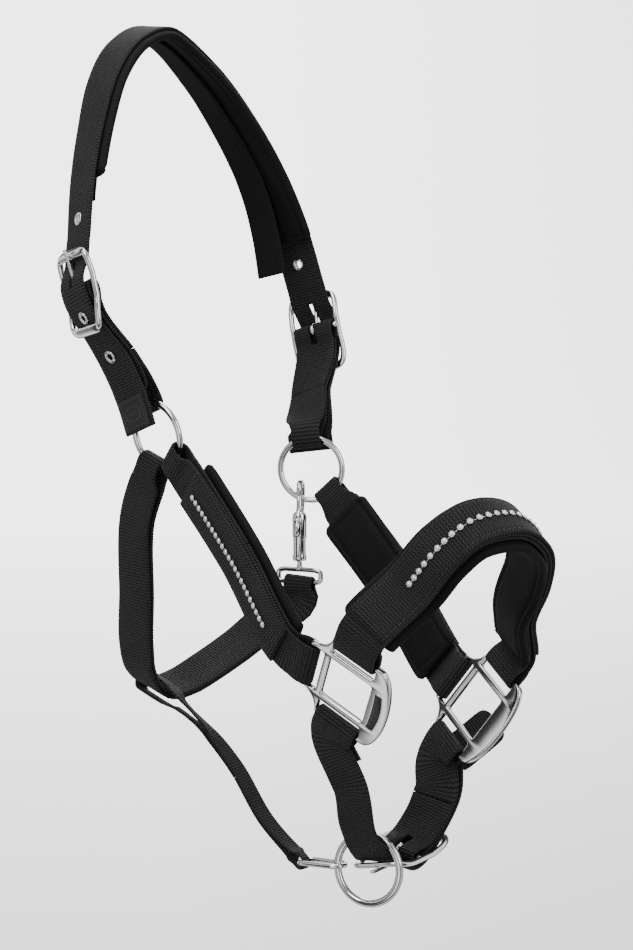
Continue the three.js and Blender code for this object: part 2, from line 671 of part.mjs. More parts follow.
const THROAT_TOP = vec(-68, 92.5, -30);
const throat = new Spine([
  [fromRing("right", THROAT_TOP, FOLD_REACH), ringNormal.right],
  [THROAT_TOP, vec(-1, 0, 0.05)],
  [vec(-65, 97, -80), vec(-1, 0, 0)],
  [vec(-62, 101, -110), vec(-1, 0, -0.1)],
  [vec(-57, 102, -129), vec(-0.85, 0.1, -0.5)],
  [vec(-45, 100, -141), vec(-0.35, 0.25, -0.9)],
  [vec(-27, 98, -139.5), vec(0, 0.3, -1)],
  [vec(-6, 95, -131), vec(0.25, 0.3, -0.95)],
  [vec(22, 91, -117), vec(0.35, 0.3, -0.9)],
  [vec(46, 86, -101), vec(0.6, 0.3, -0.8)],
  [snapEyeBar.clone().add(vec(-1.5, 0.5, -12)), vec(0.95, 0.3, -0.1)],
  [snapEyeBar, vec(0.94, 0.35, 0)],
]);
const bottom = throat.marks[5]; // where the connector goes round the throat strap

function makeThroat() {
  const end = throat.length;
  const path = doubledPath({
    start: { s: 0, radius: FOLD_RADIUS, width: FOLD_WIDTH, reach: 16 },
    end: { s: end, radius: 1.7 + 3 * AIR + PLY / 2, width: 19, reach: 10 },
    join: end * 0.55,
  });
  add("throat_strap", ribbon(throat, path), webbing);
}

// ---------- oval link and connector ----------

const LINK_DIRECTION = vec(-0.2, 0.97, -0.03).normalize();

function makeLink() {
  const rearward = new THREE.Vector3().crossVectors(vec(0, 0, 1), chinRingNormal).normalize();
  const wireAt = chinRingCentre.clone().addScaledVector(rearward, -CHIN_RING_RADIUS);
  const half = 9.5;
  const radius = 6.4;
  const centre = wireAt.clone().addScaledVector(LINK_DIRECTION, half + radius - 1.6 - CHIN_RING_WIRE - AIR);
  const across = new THREE.Vector3().crossVectors(LINK_DIRECTION, vec(0, 0, 1)).normalize();
  const points = [];
  for (const end of [1, -1]) {
    for (let i = 0; i <= 6; i += 1) {
      const angle = THREE.MathUtils.degToRad(-90 + 30 * i);
      points.push(centre.clone().addScaledVector(LINK_DIRECTION, end * (half + radius * Math.cos(angle)))
        .addScaledVector(across, end * radius * Math.sin(angle)));
    }
  }
  add("oval_link", rod(points, 1.6, 8, true), plated);
  return centre.addScaledVector(LINK_DIRECTION, half + radius);
}

function makeConnector(linkEnd) {
  const up = vec(0, -0.3, 1);
  const inward = throat.frame(bottom).out.negate();
  const spine = new Spine([
    [linkEnd, vec(0, -0.2, 1)],
    [vec(-31, 14, -216), vec(-0.2, -0.75, 0.6)],
    [vec(-33, 38, -187), vec(-0.2, -0.7, 0.7)],
    [vec(-36, 60, -167), up],
    [throat.at(bottom, 0, -27).add(vec(0, 0, -1)), inward],
    [throat.at(bottom, 0, -15), inward],
    [throat.at(bottom, 0, 13.6), inward],
  ]);
  const end = spine.length;
  const width = 10;
  const path = doubledPath({
    start: { s: -1.4, radius: 1.6 + 1.4 + 0.8, width: 6.4, reach: 12 },
    end: { s: end, radius: 6.2, width, reach: 48, straight: 33 },
    join: end * 0.4,
  }).map(([s, n, wide]) => [s, n, Math.min(wide, width)]);
  add("connector_strap", ribbon(spine, path, 1.6), webbing);
}

// ---------- snap hook ----------

// The snap's own axes: x along the ring's wire, y out through the thumb knob, z up; zero at the ring's wire
const SNAP_BOLT = 5.2; // bolt, forward of the wire

function snapBasis() {
  const radial = snapSeat.clone().sub(ringCentre.left);
  const x = new THREE.Vector3().crossVectors(ringNormal.left, radial).setZ(0).normalize();
  return new THREE.Matrix4().makeBasis(x, new THREE.Vector3().crossVectors(vec(0, 0, 1), x), vec(0, 0, 1))
    .setPosition(snapSeat);
}

// A round bar on the snap's z axis, from low to high, at y
function post(radius, low, high, y, sides = 16) {
  return new THREE.CylinderGeometry(radius, radius, high - low, sides).rotateX(Math.PI / 2)
    .translate(0, y, (low + high) / 2);
}

function makeSnap() {
  const basis = snapBasis();
  const hookPoints = [[1, -12], [-2.8, -8], [-5, -3], [-5.2, 1]];
  for (let degrees = 180; degrees >= 0; degrees -= 22.5) {
    const angle = THREE.MathUtils.degToRad(degrees);
    hookPoints.push([5.2 * Math.cos(angle), 5 + 5.2 * Math.sin(angle)]);
  }
  hookPoints.push([SNAP_BOLT, 2.6]);
  const hook = rod(hookPoints.map(([y, z]) => vec(0, y, z)), 1.9, 8);
  const slot = new THREE.BoxGeometry(3, 8, 11).translate(0, SNAP_BOLT + 4, -19.3);
  const body = cut(join(post(4.8, -41.5, -9, SNAP_AXIS, 20), hook), post(2.1, -36, -7, SNAP_BOLT),
    slot, post(3.3, -40, -37.2, SNAP_AXIS), post(2.1, -42, -39, SNAP_AXIS));
  add("snap_body", body.applyMatrix4(basis), plated);
  const knob = join(
    new THREE.CylinderGeometry(1.1, 1.1, 5, 10).translate(0, SNAP_BOLT + 2.5, -15.3),
    new THREE.CylinderGeometry(2.4, 2.7, 1.8, 14).translate(0, SNAP_BOLT + 4.9, -15.3),
  );
  add("snap_bolt", join(post(1.8, -22, 2.2, SNAP_BOLT, 12), knob).applyMatrix4(basis), plated);
  const coil = [];
  const turns = 5;
  for (let i = 0; i <= turns * 8; i += 1) {
    const angle = (Math.PI * i) / 4;
    const rise = (12.6 * i) / (turns * 8);
    coil.push(vec(1.35 * Math.cos(angle), SNAP_BOLT + 1.35 * Math.sin(angle), -35.3 + rise));
  }
  add("snap_spring", rod(coil, 0.35, 5).applyMatrix4(basis), plated);
  makeSnapEye();
}

function makeSnapEye() {
  const across = vec(-0.35, 0.94, 0).normalize();
  const axis = vec(0, SNAP_AXIS, 0).applyMatrix4(snapBasis());
  const middle = axis.clone().add(vec(0, 0, -SNAP_DROP + 4.3));
  const shaped = (value) => Math.sign(value) * Math.abs(value) ** 0.45;
  const loop = Array.from({ length: 24 }, (_, i) => {
    const angle = (2 * Math.PI * (i + 0.5)) / 24;
    return middle.clone().addScaledVector(across, 15.5 * shaped(Math.cos(angle)))
      .add(vec(0, 0, 4.3 * shaped(Math.sin(angle))));
  });
  const stem = (radius, low, high) => new THREE.CylinderGeometry(radius, radius, high - low, 14)
    .rotateX(Math.PI / 2).translate(axis.x, axis.y, snapSeat.z + (low + high) / 2);
  const stems = [stem(1.75, -SNAP_DROP + 8.6, -39), stem(2.9, -39.7, -37.5)];
  add("snap_eye", join(rod(loop, 1.7, 8, true), ...stems), plated);
}

makeCrown();
makeLining();
for (const side of ["right", "left"]) {
  makeBillet(side);
  makePatch(side);
  makeCrownBuckle(side);
  ring(`${side}_cheek_ring`, ringCentre[side], ringNormal[side], RING_RADIUS, RING_WIRE);
  makeSquare(side);
  makeCheek(side);
}
makeNoseband();
makeChin();
ring("chin_ring", chinRingCentre, chinRingNormal, CHIN_RING_RADIUS, CHIN_RING_WIRE);
makeConnector(makeLink());
makeThroat();
makeSnap();

export default headcollar;
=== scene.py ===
"""Blender look of a padded nylon headcollar: ribbed webbing, stitched pads, plated hardware, crystal trim."""
import json
import logging
import math
from bisect import bisect_right
from collections.abc import Callable, Sequence
from dataclasses import dataclass, field
from enum import Enum

import bmesh
import bpy
from mathutils import Matrix, Vector


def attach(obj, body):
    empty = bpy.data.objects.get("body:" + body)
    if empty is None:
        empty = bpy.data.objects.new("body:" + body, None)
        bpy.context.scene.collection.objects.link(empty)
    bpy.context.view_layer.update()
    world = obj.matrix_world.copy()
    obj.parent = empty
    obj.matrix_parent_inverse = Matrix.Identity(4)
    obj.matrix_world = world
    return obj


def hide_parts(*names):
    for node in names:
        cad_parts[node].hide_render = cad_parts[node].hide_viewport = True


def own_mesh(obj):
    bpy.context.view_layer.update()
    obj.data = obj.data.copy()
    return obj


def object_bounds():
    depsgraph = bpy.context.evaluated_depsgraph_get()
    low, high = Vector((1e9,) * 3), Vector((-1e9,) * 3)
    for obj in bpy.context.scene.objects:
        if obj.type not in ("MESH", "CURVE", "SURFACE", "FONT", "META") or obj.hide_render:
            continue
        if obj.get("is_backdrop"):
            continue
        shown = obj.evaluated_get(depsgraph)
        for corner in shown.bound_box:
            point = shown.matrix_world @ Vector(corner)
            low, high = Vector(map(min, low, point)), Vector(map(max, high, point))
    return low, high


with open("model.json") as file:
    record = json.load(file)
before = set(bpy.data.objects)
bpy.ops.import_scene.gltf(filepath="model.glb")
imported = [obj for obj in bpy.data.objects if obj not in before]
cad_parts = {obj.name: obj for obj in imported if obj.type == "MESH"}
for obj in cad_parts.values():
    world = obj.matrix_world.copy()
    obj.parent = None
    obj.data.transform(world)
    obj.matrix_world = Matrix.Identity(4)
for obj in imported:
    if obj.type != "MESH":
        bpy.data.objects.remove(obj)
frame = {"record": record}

log = logging.getLogger("headcollar")

MM = 0.001
DRAWING_ZERO = Vector((0.0, -143.5, -276.6))  # from the poll to the drawing's zero, mm

WEB = 30.0  # webbing width
PLY = 2.2  # webbing thickness
AIR = 0.3  # gap between layers
PAD = 6.0  # padding thickness
PAD_WIDTH = 37.0
FOLD_WIDTH = 19.0  # webbing gathered round a ring
FOLD_RADIUS = 5.7
FOLD_REACH = 20.6  # ring centre to the middle of a fold
SLIP = 14.6  # the headcollar sits this far round the poll, right side up
ROD = 2.0  # buckle rod radius
BUCKLE_HALF = 22.5
BUCKLE_SIDE = 18.2
BAR_REACH = 29.5  # side square: centre to an outer bar
LOOP_RADIUS = 4.0  # strap centre line round a square's bar
OVERLAY_N = PLY + 1.5 * AIR + PLY / 2  # height of the second layer of webbing
CHAIN_N = OVERLAY_N + PLY / 2 + 0.9  # height of the crystal rows
AXIS = 0.001  # radius of a turned profile's points on its axis


class Side(Enum):
    """The two sides of the horse."""

    RIGHT = "right"
    LEFT = "left"

    @property
    def sign(self) -> int:
        """The side's direction along X."""
        return 1 if self is Side.LEFT else -1


class Slot(Enum):
    """The record's material slots."""

    WEBBING = "webbing"
    PADDING = "padding"
    PATCH = "patch"
    PLATED = "plated"
    CRYSTAL = "crystal"


Station = tuple[Vector, Vector]
PathPoint = tuple[float, float, float]


def vec(x: float, y: float, z: float) -> Vector:
    """A vector from three numbers."""
    return Vector((x, y, z))


# ---------- spines and strap paths ----------


def catmull_rom(places: Sequence[Vector], share: float) -> Vector:
    """A point on the centripetal curve between the two middle places of four.

    Args:
        places: four places in a row.
        share: how far the point is from the second place to the third, from 0 to 1.

    Returns:
        The point.
    """
    p0, p1, p2, p3 = places
    gap0, gap1, gap2 = (math.sqrt((b - a).length) for a, b in ((p0, p1), (p1, p2), (p2, p3)))
    lead = ((p1 - p0) / gap0 - (p2 - p0) / (gap0 + gap1) + (p2 - p1) / gap1) * gap1
    trail = ((p2 - p1) / gap1 - (p3 - p1) / (gap1 + gap2) + (p3 - p2) / gap2) * gap1
    square, cube = share * share, share**3
    return (
        p1 * (2 * cube - 3 * square + 1)
        + lead * (cube - 2 * square + share)
        + p2 * (3 * square - 2 * cube)
        + trail * (cube - square)
    )


class Spine:
    """A strap's middle line through its stations, with the way outwards at each."""

    STEPS = 40

    def __init__(self, stations: Sequence[Station]) -> None:
        """Sample the line.

        Args:
            stations: pairs of a place and its way outwards, in millimetres.
        """
        places = [place for place, _ in stations]
        self.outs = [out.normalized() for _, out in stations]
        around = [2 * places[0] - places[1], *places, 2 * places[-1] - places[-2]]
        self.points = [
            catmull_rom(around[i : i + 4], j / self.STEPS)
            for i in range(len(places) - 1)
            for j in range(self.STEPS)
        ]
        self.points.append(places[-1])
        self.lengths = [0.0]
        for a, b in zip(self.points, self.points[1:]):
            self.lengths.append(self.lengths[-1] + (b - a).length)
        self.length = self.lengths[-1]
        self.marks = self.lengths[:: self.STEPS]

    def point(self, s: float) -> Vector:
        """The place at a distance along the line, straight on past its ends.

        Args:
            s: the distance in millimetres.

        Returns:
            The place.
        """
        i = min(max(bisect_right(self.lengths, s) - 1, 0), len(self.points) - 2)
        share = (s - self.lengths[i]) / (self.lengths[i + 1] - self.lengths[i])
        return self.points[i].lerp(self.points[i + 1], share)

    def frame(self, s: float) -> tuple[Vector, Vector, Vector, Vector]:
        """Place, along, out and across at a distance along the line.

        Args:
            s: the distance in millimetres.

        Returns:
            The place and three unit vectors.
        """
        along = (self.point(s + 1.5) - self.point(s - 1.5)).normalized()
        i = min(max(bisect_right(self.marks, s) - 1, 0), len(self.marks) - 2)
        share = min(max((s - self.marks[i]) / (self.marks[i + 1] - self.marks[i]), 0.0), 1.0)
        out = self.outs[i].lerp(self.outs[i + 1], share)
        out = (out - along * out.dot(along)).normalized()
        return self.point(s), along, out, along.cross(out)

    def at(self, s: float, n: float = 0.0, w: float = 0.0) -> Vector:
        """The place s along, n out and w across."""
        place, _, out, across = self.frame(s)
        return place + out * n + across * w


def rounded(path: Sequence[PathPoint], passes: int = 2, step: float = 3.0) -> list[PathPoint]:
    """Cut a path's corners and fill in its long stretches.

    Args:
        path: (s, n, width) points.
        passes: how many times the corners are cut.
        step: longest stretch left, in millimetres.

    Returns:
        The smoother path.
    """
    points = [Vector(point) for point in path]
    for _ in range(passes):
        cut = [points[0]]
        for a, b in zip(points, points[1:]):
            cut += [a.lerp(b, 0.25), a.lerp(b, 0.75)]
        points = [*cut, points[-1]]
    filled: list[PathPoint] = []
    for a, b in zip(points, points[1:]):
        count = max(1, math.ceil((b - a).to_2d().length / step))
        filled += [tuple(a.lerp(b, k / count)) for k in range(count)]
    return [*filled, tuple(points[-1])]


@dataclass(frozen=True)
class Fold:
    """A loop at the end of a doubled strap, with its centre at s."""

    s: float
    radius: float
    width: float
    reach: float
    straight: float | None = None

    def path(self, way: int) -> list[PathPoint]:
        """The strap's route round the loop.

        Args:
            way: +1 when the loop points to greater s, -1 when it points back.

        Returns:
            The route, from the lower ply to the upper one.
        """
        ply = (PLY + AIR) / 2
        straight = self.reach * 0.45 if self.straight is None else self.straight
        arc = [
            (
                self.s + way * self.radius * math.sin(math.pi * i / 12),
                -self.radius * math.cos(math.pi * i / 12),
                self.width,
            )
            for i in range(13)
        ]
        wide = max(self.width, WEB) if self.straight is None else self.width
        return [
            (self.s - way * self.reach, -ply, wide),
            (self.s - way * straight, -self.radius, self.width),
            *arc,
            (self.s - way * straight, self.radius, self.width),
            (self.s - way * self.reach, ply, wide),
        ]


def doubled(start: Fold, end: Fold, join: float) -> list[PathPoint]:
    """The path of a doubled strap with a loop at each end.

    Args:
        start: the loop at small s.
        end: the loop at great s.
        join: where the strap's two ends meet on the inner side.

    Returns:
        The path, from the join round both loops to the join.
    """
    first, last = end.path(1), start.path(-1)[::-1]
    low, width = first[0][1], first[0][2]
    return [(join + AIR, low, width), *first, *last, (join - AIR, low, width)]


# ---------- meshes ----------


@dataclass
class Draft:
    """A mesh in the making, in millimetres from the drawing's zero."""

    places: list[Vector] = field(default_factory=list)
    faces: list[tuple[int, ...]] = field(default_factory=list)
    finish: list[int] = field(default_factory=list)
    cloth: list[tuple[float, float]] = field(default_factory=list)
    border: list[tuple[float, float]] = field(default_factory=list)

    def loft(
        self,
        rings: Sequence[Sequence[Vector]],
        closed: bool = False,
        finish: int = 0,
        cloth: Sequence[Sequence[tuple[float, float]]] | None = None,
        border: Sequence[Sequence[tuple[float, float]]] | None = None,
    ) -> "Draft":
        """Join equal rings of points into a tube.

        Args:
            rings: the rings, in order.
            closed: whether the last ring joins the first.
            finish: the material slot of the faces.
            cloth: across and along of each point on the cloth.
            border: each point's distance to the side edge and to the end.

        Returns:
            This draft.
        """
        base, count = len(self.places), len(rings[0])
        for i, ring in enumerate(rings):
            self.places += ring
            self.cloth += cloth[i] if cloth else [(0.0, 0.0)] * count
            self.border += border[i] if border else [(0.0, 0.0)] * count
        for i in range(len(rings) if closed else len(rings) - 1):
            here, after = base + i * count, base + (i + 1) % len(rings) * count
            for k in range(count):
                turn = (k + 1) % count
                self.faces.append((here + k, here + turn, after + turn, after + k))
        if not closed:
            last = base + (len(rings) - 1) * count
            self.faces.append(tuple(range(base + count - 1, base - 1, -1)))
            self.faces.append(tuple(range(last, last + count)))
        self.finish += [finish] * (len(self.faces) - len(self.finish))
        return self

    def tube(
        self,
        line: Sequence[Vector],
        radius: float | Callable[[int], tuple[float, float]],
        up: Vector | Sequence[Vector],
        closed: bool = False,
        sides: int = 16,
        finish: int = 0,
    ) -> "Draft":
        """Sweep an oval along a line.

        Args:
            line: the centre line.
            radius: one radius, or a function of the point's number to the side and upward radii.
            up: the oval's upward direction, for all points or one for each.
            closed: whether the line is a loop.
            sides: points round the oval.
            finish: the material slot of the faces.

        Returns:
            This draft.
        """
        rings = []
        count = len(line)
        for i, place in enumerate(line):
            before = line[(i - 1) % count] if closed else line[max(i - 1, 0)]
            after = line[(i + 1) % count] if closed else line[min(i + 1, count - 1)]
            along = (after - before).normalized()
            rise = up if isinstance(up, Vector) else up[i]
            rise = (rise - along * rise.dot(along)).normalized()
            side = along.cross(rise)
            a, b = radius(i) if callable(radius) else (radius, radius)
            turns = [2 * math.pi * k / sides for k in range(sides)]
            rings.append([place + side * (a * math.cos(t)) + rise * (b * math.sin(t)) for t in turns])
        return self.loft(rings, closed, finish)

    def lathe(
        self, profile: Sequence[tuple[float, float]], basis: Matrix, sides: int = 32, finish: int = 0
    ) -> "Draft":
        """Turn a profile of (radius, height) round the basis's Z axis.

        Args:
            profile: the outline; it closes on itself or ends on the axis.
            basis: where the axis stands.
            sides: points round the axis.
            finish: the material slot of the faces.

        Returns:
            This draft.
        """
        rings = []
        for radius, height in profile:
            turns = [2 * math.pi * k / sides for k in range(sides)]
            rings.append([basis @ vec(radius * math.cos(t), radius * math.sin(t), height) for t in turns])
        return self.loft(rings, profile[0] == profile[-1], finish)

    def mesh(self, name: str) -> bpy.types.Mesh:
        """Make the Blender mesh, in metres from the poll, with its cloth coordinates.

        Args:
            name: the mesh's name.

        Returns:
            The mesh, smooth and facing outwards.
        """
        mesh = bpy.data.meshes.new(name)
        mesh.from_pydata([(place + DRAWING_ZERO) * MM for place in self.places], [], self.faces)
        for label, values in (("cloth", self.cloth), ("border", self.border)):
            layer = mesh.uv_layers.new(name=label)
            for loop in mesh.loops:
                layer.data[loop.index].uv = values[loop.vertex_index]
        mesh.polygons.foreach_set("material_index", self.finish)
        tidy_mesh(mesh)
        mesh.shade_smooth()
        return mesh


def tidy_mesh(mesh: bpy.types.Mesh) -> None:
    """Merge a mesh's doubled points and turn its faces outwards.

    Args:
        mesh: the mesh to tidy.
    """
    work = bmesh.new()
    work.from_mesh(mesh)
    bmesh.ops.remove_doubles(work, verts=work.verts, dist=1e-6)
    bmesh.ops.recalc_face_normals(work, faces=work.faces)
    work.to_mesh(mesh)
    work.free()


def strap(spine: Spine, path: Sequence[PathPoint], thickness: float = PLY) -> Draft:
    """A webbing strap with soft edges along a path on a spine.

    Args:
        spine: the line that the path follows.
        path: (s, n, width) points of the strap's middle.
        thickness: the webbing's thickness.

    Returns:
        The strap's draft.
    """
    half = thickness / 2
    rim = [(0.0, 0.3), (0.35, 0.8), (0.9, 1.0)]  # inset from the side and height, in half thicknesses
    rings, cloth, border = [], [], []
    travelled = 0.0
    for i, (s, n, width) in enumerate(path):
        before, after = path[max(i - 1, 0)], path[min(i + 1, len(path) - 1)]
        ds, dn = after[0] - before[0], after[1] - before[1]
        size = math.hypot(ds, dn)
        travelled += math.hypot(s - before[0], n - before[1]) if i else 0.0
        edge = [(width / 2 - half * inset, half * lift) for inset, lift in rim]
        inner = [(width / 2 * share, half) for share in (0.6, 0.2, -0.2, -0.6)]
        top = edge + inner + [(-w, h) for w, h in reversed(edge)]
        outline = top + [(w, -h) for w, h in reversed(top)]
        ring = []
        for w, h in outline:
            ring.append(spine.at(s - dn / size * h, n + ds / size * h, w))
        rings.append(ring)
        cloth.append([(w, travelled) for w, _ in outline])
        border.append([(width / 2 - abs(w), travelled) for w, _ in outline])
    total = travelled
    border = [[(side, min(end, total - end)) for side, end in row] for row in border]
    return Draft().loft(rings, cloth=cloth, border=border)


def pad(spine: Spine, s0: float, s1: float, n: float, width: float, thickness: float = PAD) -> Draft:
    """A padded strip under a strap: flat on top, full below, drawn in at a sewn channel near its border.

    Args:
        spine: the strap's line.
        s0: where the pad starts.
        s1: where it ends.
        n: height of the pad's middle.
        width: the pad's width.
        thickness: its full thickness.

    Returns:
        The pad's draft.
    """
    half = thickness / 2
    count = max(2, math.ceil(abs(s1 - s0) / 4))
    seam = 5.0
    rings, cloth, border = [], [], []
    ends = [0.0, 0.6, 1.8, 3.6, seam, seam + 2.5]
    total = abs(s1 - s0)
    runs = ends + [seam + 2.5 + (total - 2 * seam - 5) * k / count for k in range(1, count)]
    runs += [total - end for end in reversed(ends)]
    for run in runs:
        end = min(run, total - run)
        pinch = 1 - math.exp(-((end - seam) ** 2) / 1.5) * 0.35
        tuck = min(1.0, (end / 3.0 + 0.02)) ** 0.5
        body = width / 2 - 3.5 * (1 - min(1.0, end / 5.0)) ** 2
        outline = []
        across = [1.0, 0.985, 0.95, 0.88, 0.80, 0.74, 0.68, 0.55, 0.3, 0.0]
        across = across + [-a for a in reversed(across[:-1])]
        for share in across:
            gap = body * (1 - abs(share))
            lift = min(1.0, (gap / 2.6 + 0.01)) ** 0.5
            outline.append((body * share, half * lift * tuck * 0.96))
        for share in reversed(across[1:-1]):
            gap = body * (1 - abs(share))
            lift = min(1.0, (gap / 2.6 + 0.01)) ** 0.5
            channel = 1 - 0.42 * math.exp(-((gap - seam) ** 2) / 1.2)
            outline.append((body * share, -half * lift * channel * pinch * tuck))
        s = s0 + (s1 - s0) * run / total
        rings.append([spine.at(s, n + h, w) for w, h in outline])
        cloth.append([(w, run) for w, _ in outline])
        border.append([(min(width / 2 - abs(w), end), end) for w, _ in outline])
    return Draft().loft(rings, cloth=cloth, border=border)


# ---------- shader expressions ----------


@dataclass(frozen=True)
class Value:
    """A shader socket that Python's operators extend with Math nodes."""

    shader: "Shader"
    socket: bpy.types.NodeSocket

    def __add__(self, other: "Value | float") -> "Value":
        """Sum."""
        return self.shader.math("ADD", self, other)

    def __sub__(self, other: "Value | float") -> "Value":
        """Difference."""
        return self.shader.math("SUBTRACT", self, other)

    def __rsub__(self, other: float) -> "Value":
        """Difference from a number."""
        return self.shader.math("SUBTRACT", other, self)

    def __mul__(self, other: "Value | float") -> "Value":
        """Product."""
        return self.shader.math("MULTIPLY", self, other)

    def __truediv__(self, other: "Value | float") -> "Value":
        """Quotient."""
        return self.shader.math("DIVIDE", self, other)

    def __pow__(self, other: float) -> "Value":
        """Power."""
        return self.shader.math("POWER", self, other)

    def __mod__(self, other: float) -> "Value":
        """Remainder, never negative."""
        return self.shader.math("FLOORED_MODULO", self, other)

    def __abs__(self) -> "Value":
        """Size without sign."""
        return self.shader.math("ABSOLUTE", self)

    def __lt__(self, other: "Value | float") -> "Value":
        """1 where this is below the other."""
        return self.shader.math("LESS_THAN", self, other)

    __radd__ = __add__
    __rmul__ = __mul__

    def sine(self) -> "Value":
        """Sine of the value in radians."""
        return self.shader.math("SINE", self)

    def floor(self) -> "Value":
        """Whole number below the value."""
        return self.shader.math("FLOOR", self)

    def unit(self) -> "Value":
        """The value held between 0 and 1."""
        return self.shader.math("MINIMUM", self.shader.math("MAXIMUM", self, 0.0), 1.0)

    def hump(self, middle: float, spread: float) -> "Value":
        """A smooth bump that is 1 at the middle and 0 further than the spread."""
        away = abs(self - middle) / spread
        return self.shader.math("MAXIMUM", 1 - away * away, 0.0)


Input = Value | float | tuple[float, ...]


class Shader:
    """One material's node tree."""

    def __init__(self, name: str) -> None:
        """Start an empty material with its surface shader.

        Args:
            name: the material's name.
        """
        self.material = bpy.data.materials.new(name)
        self.material.use_nodes = True
        self.tree = self.material.node_tree
        self.tree.nodes.clear()
        self.surface = self.node("ShaderNodeBsdfPrincipled")
        output = self.node("ShaderNodeOutputMaterial")
        self.tree.links.new(self.surface.outputs["BSDF"], output.inputs["Surface"])

    def node(
        self,
        kind: str,
        settings: dict[str, object] | None = None,
        inputs: dict[str | int, Input] | None = None,
    ) -> bpy.types.Node:
        """Add a node.

        Args:
            kind: the node's type.
            settings: its properties, set first.
            inputs: values or links of its sockets.

        Returns:
            The node.
        """
        node = self.tree.nodes.new(kind)
        for key, setting in (settings or {}).items():
            setattr(node, key, setting)
        for key, source in (inputs or {}).items():
            self.feed(node.inputs[key], source)
        return node

    def feed(self, socket: bpy.types.NodeSocket, source: Input) -> None:
        """Link a value to a socket, or set the socket's constant.

        Args:
            socket: the node's socket.
            source: a value to link, or a constant.
        """
        if isinstance(source, Value):
            self.tree.links.new(source.socket, socket)
        else:
            socket.default_value = source

    def math(self, operation: str, *values: Value | float) -> Value:
        """The result of a Math node."""
        node = self.node("ShaderNodeMath", {"operation": operation}, dict(enumerate(values)))
        return Value(self, node.outputs[0])

    def split(self, socket: bpy.types.NodeSocket) -> list[Value]:
        """The three parts of a place."""
        parts = self.node("ShaderNodeSeparateXYZ", inputs={0: Value(self, socket)})
        return [Value(self, part) for part in parts.outputs]

    def cloth(self, layer: str) -> tuple[Value, Value]:
        """The two coordinates of a cloth layer, in millimetres."""
        across, along, _ = self.split(self.node("ShaderNodeUVMap", {"uv_map": layer}).outputs[0])
        return across, along

    def noise(self, scale: float, detail: float = 3.0) -> Value:
        """Noise over the object's own space, from 0 to 1.

        Args:
            scale: how fine the noise is.
            detail: how much fine detail it has.

        Returns:
            The noise's value.
        """
        place = self.node("ShaderNodeTexCoord")
        inputs = {"Vector": Value(self, place.outputs["Object"]), "Scale": scale, "Detail": detail}
        return Value(self, self.node("ShaderNodeTexNoise", inputs=inputs).outputs[0])

    def blend(self, share: Value, first: tuple[float, ...], second: tuple[float, ...]) -> Value:
        """A colour between two, by share."""
        node = self.node("ShaderNodeMix", {"data_type": "RGBA"}, {0: share, 6: first, 7: second})
        return Value(self, node.outputs[2])

    def bump(self, height: Value, depth: float, strength: float = 1.0) -> Value:
        """A normal bent by a height from 0 to 1, where depth is how deep 1 is in metres."""
        inputs = {"Height": height, "Distance": depth, "Strength": strength}
        return Value(self, self.node("ShaderNodeBump", inputs=inputs).outputs[0])

    def finish(self, **sockets: Input) -> bpy.types.Material:
        """Feed the surface shader's sockets, named with underscores for spaces, and give the material.

        Args:
            sockets: values or constants by socket name.

        Returns:
            The material.
        """
        for name, source in sockets.items():
            self.feed(self.surface.inputs[name.replace("_", " ")], source)
        return self.material


class Sky(Shader):
    """The world's node tree."""

    def __init__(self) -> None:
        """Start a new world whose background is the surface."""
        world = bpy.data.worlds.new("studio")
        world.use_nodes = True
        self.tree = world.node_tree
        self.surface = self.tree.nodes["Background"]
        bpy.context.scene.world = world


# ---------- finishes ----------


@dataclass(frozen=True)
class Webbing:
    """Black nylon webbing with ribs across it, staggered between the columns of its weave; its rib crests and
    stitching are painted lighter and its furrows darker, a painted highlight and painted shade.
    """

    name: str = "ribbed webbing"
    rib: float = 1.9
    column: float = 1.55
    stitched: bool = False
    # painted shade colour for the rib furrows, then painted highlight colour for the rib crests
    deep: tuple[float, ...] = (0.0012, 0.0012, 0.0013, 1.0)
    crest: tuple[float, ...] = (0.034, 0.034, 0.036, 1.0)

    def build(self) -> bpy.types.Material:
        """Make the material.

        Returns:
            The material.
        """
        shader = Shader(self.name)
        across, along = shader.cloth("cloth")
        side, _ = shader.cloth("border")
        columns = across / self.column
        stagger = (columns.floor() % 2.0) * 1.1
        fibre = shader.noise(2600.0)
        ribs = (along * (2 * math.pi / self.rib) + stagger).sine() * 0.5 + 0.5
        furrow = abs((columns * math.pi).sine()) ** 0.35
        height = ribs * (furrow * 0.75 + 0.25) + fibre * 0.3
        if self.stitched:
            thread = side.hump(2.6, 0.65) * ((along % 3.4) < 2.5)
            # the channel beside the stitching is sunk in the bump and also painted darker through the colour,
            # a painted shade; the thread is painted lighter, a painted highlight
            height = shader.math("MAXIMUM", height * (1 - side.hump(2.6, 1.3) * 0.6), thread * 1.3)
        patchy = shader.noise(45.0, 2.0)
        # painted highlight and shade: the colour follows the height, lighter on crests and thread, darker in
        # furrows; the patchy noise is random tone
        tone = height * 0.62 + (patchy - 0.5) * 0.35
        return shader.finish(
            Base_Color=shader.blend(tone.unit(), self.deep, self.crest),
            Roughness=0.82 - height * 0.2,
            Normal=shader.bump(height, 0.0005, 0.85),
            Sheen_Weight=0.03,
            Sheen_Roughness=0.5,
            Specular_IOR_Level=0.22,
        )


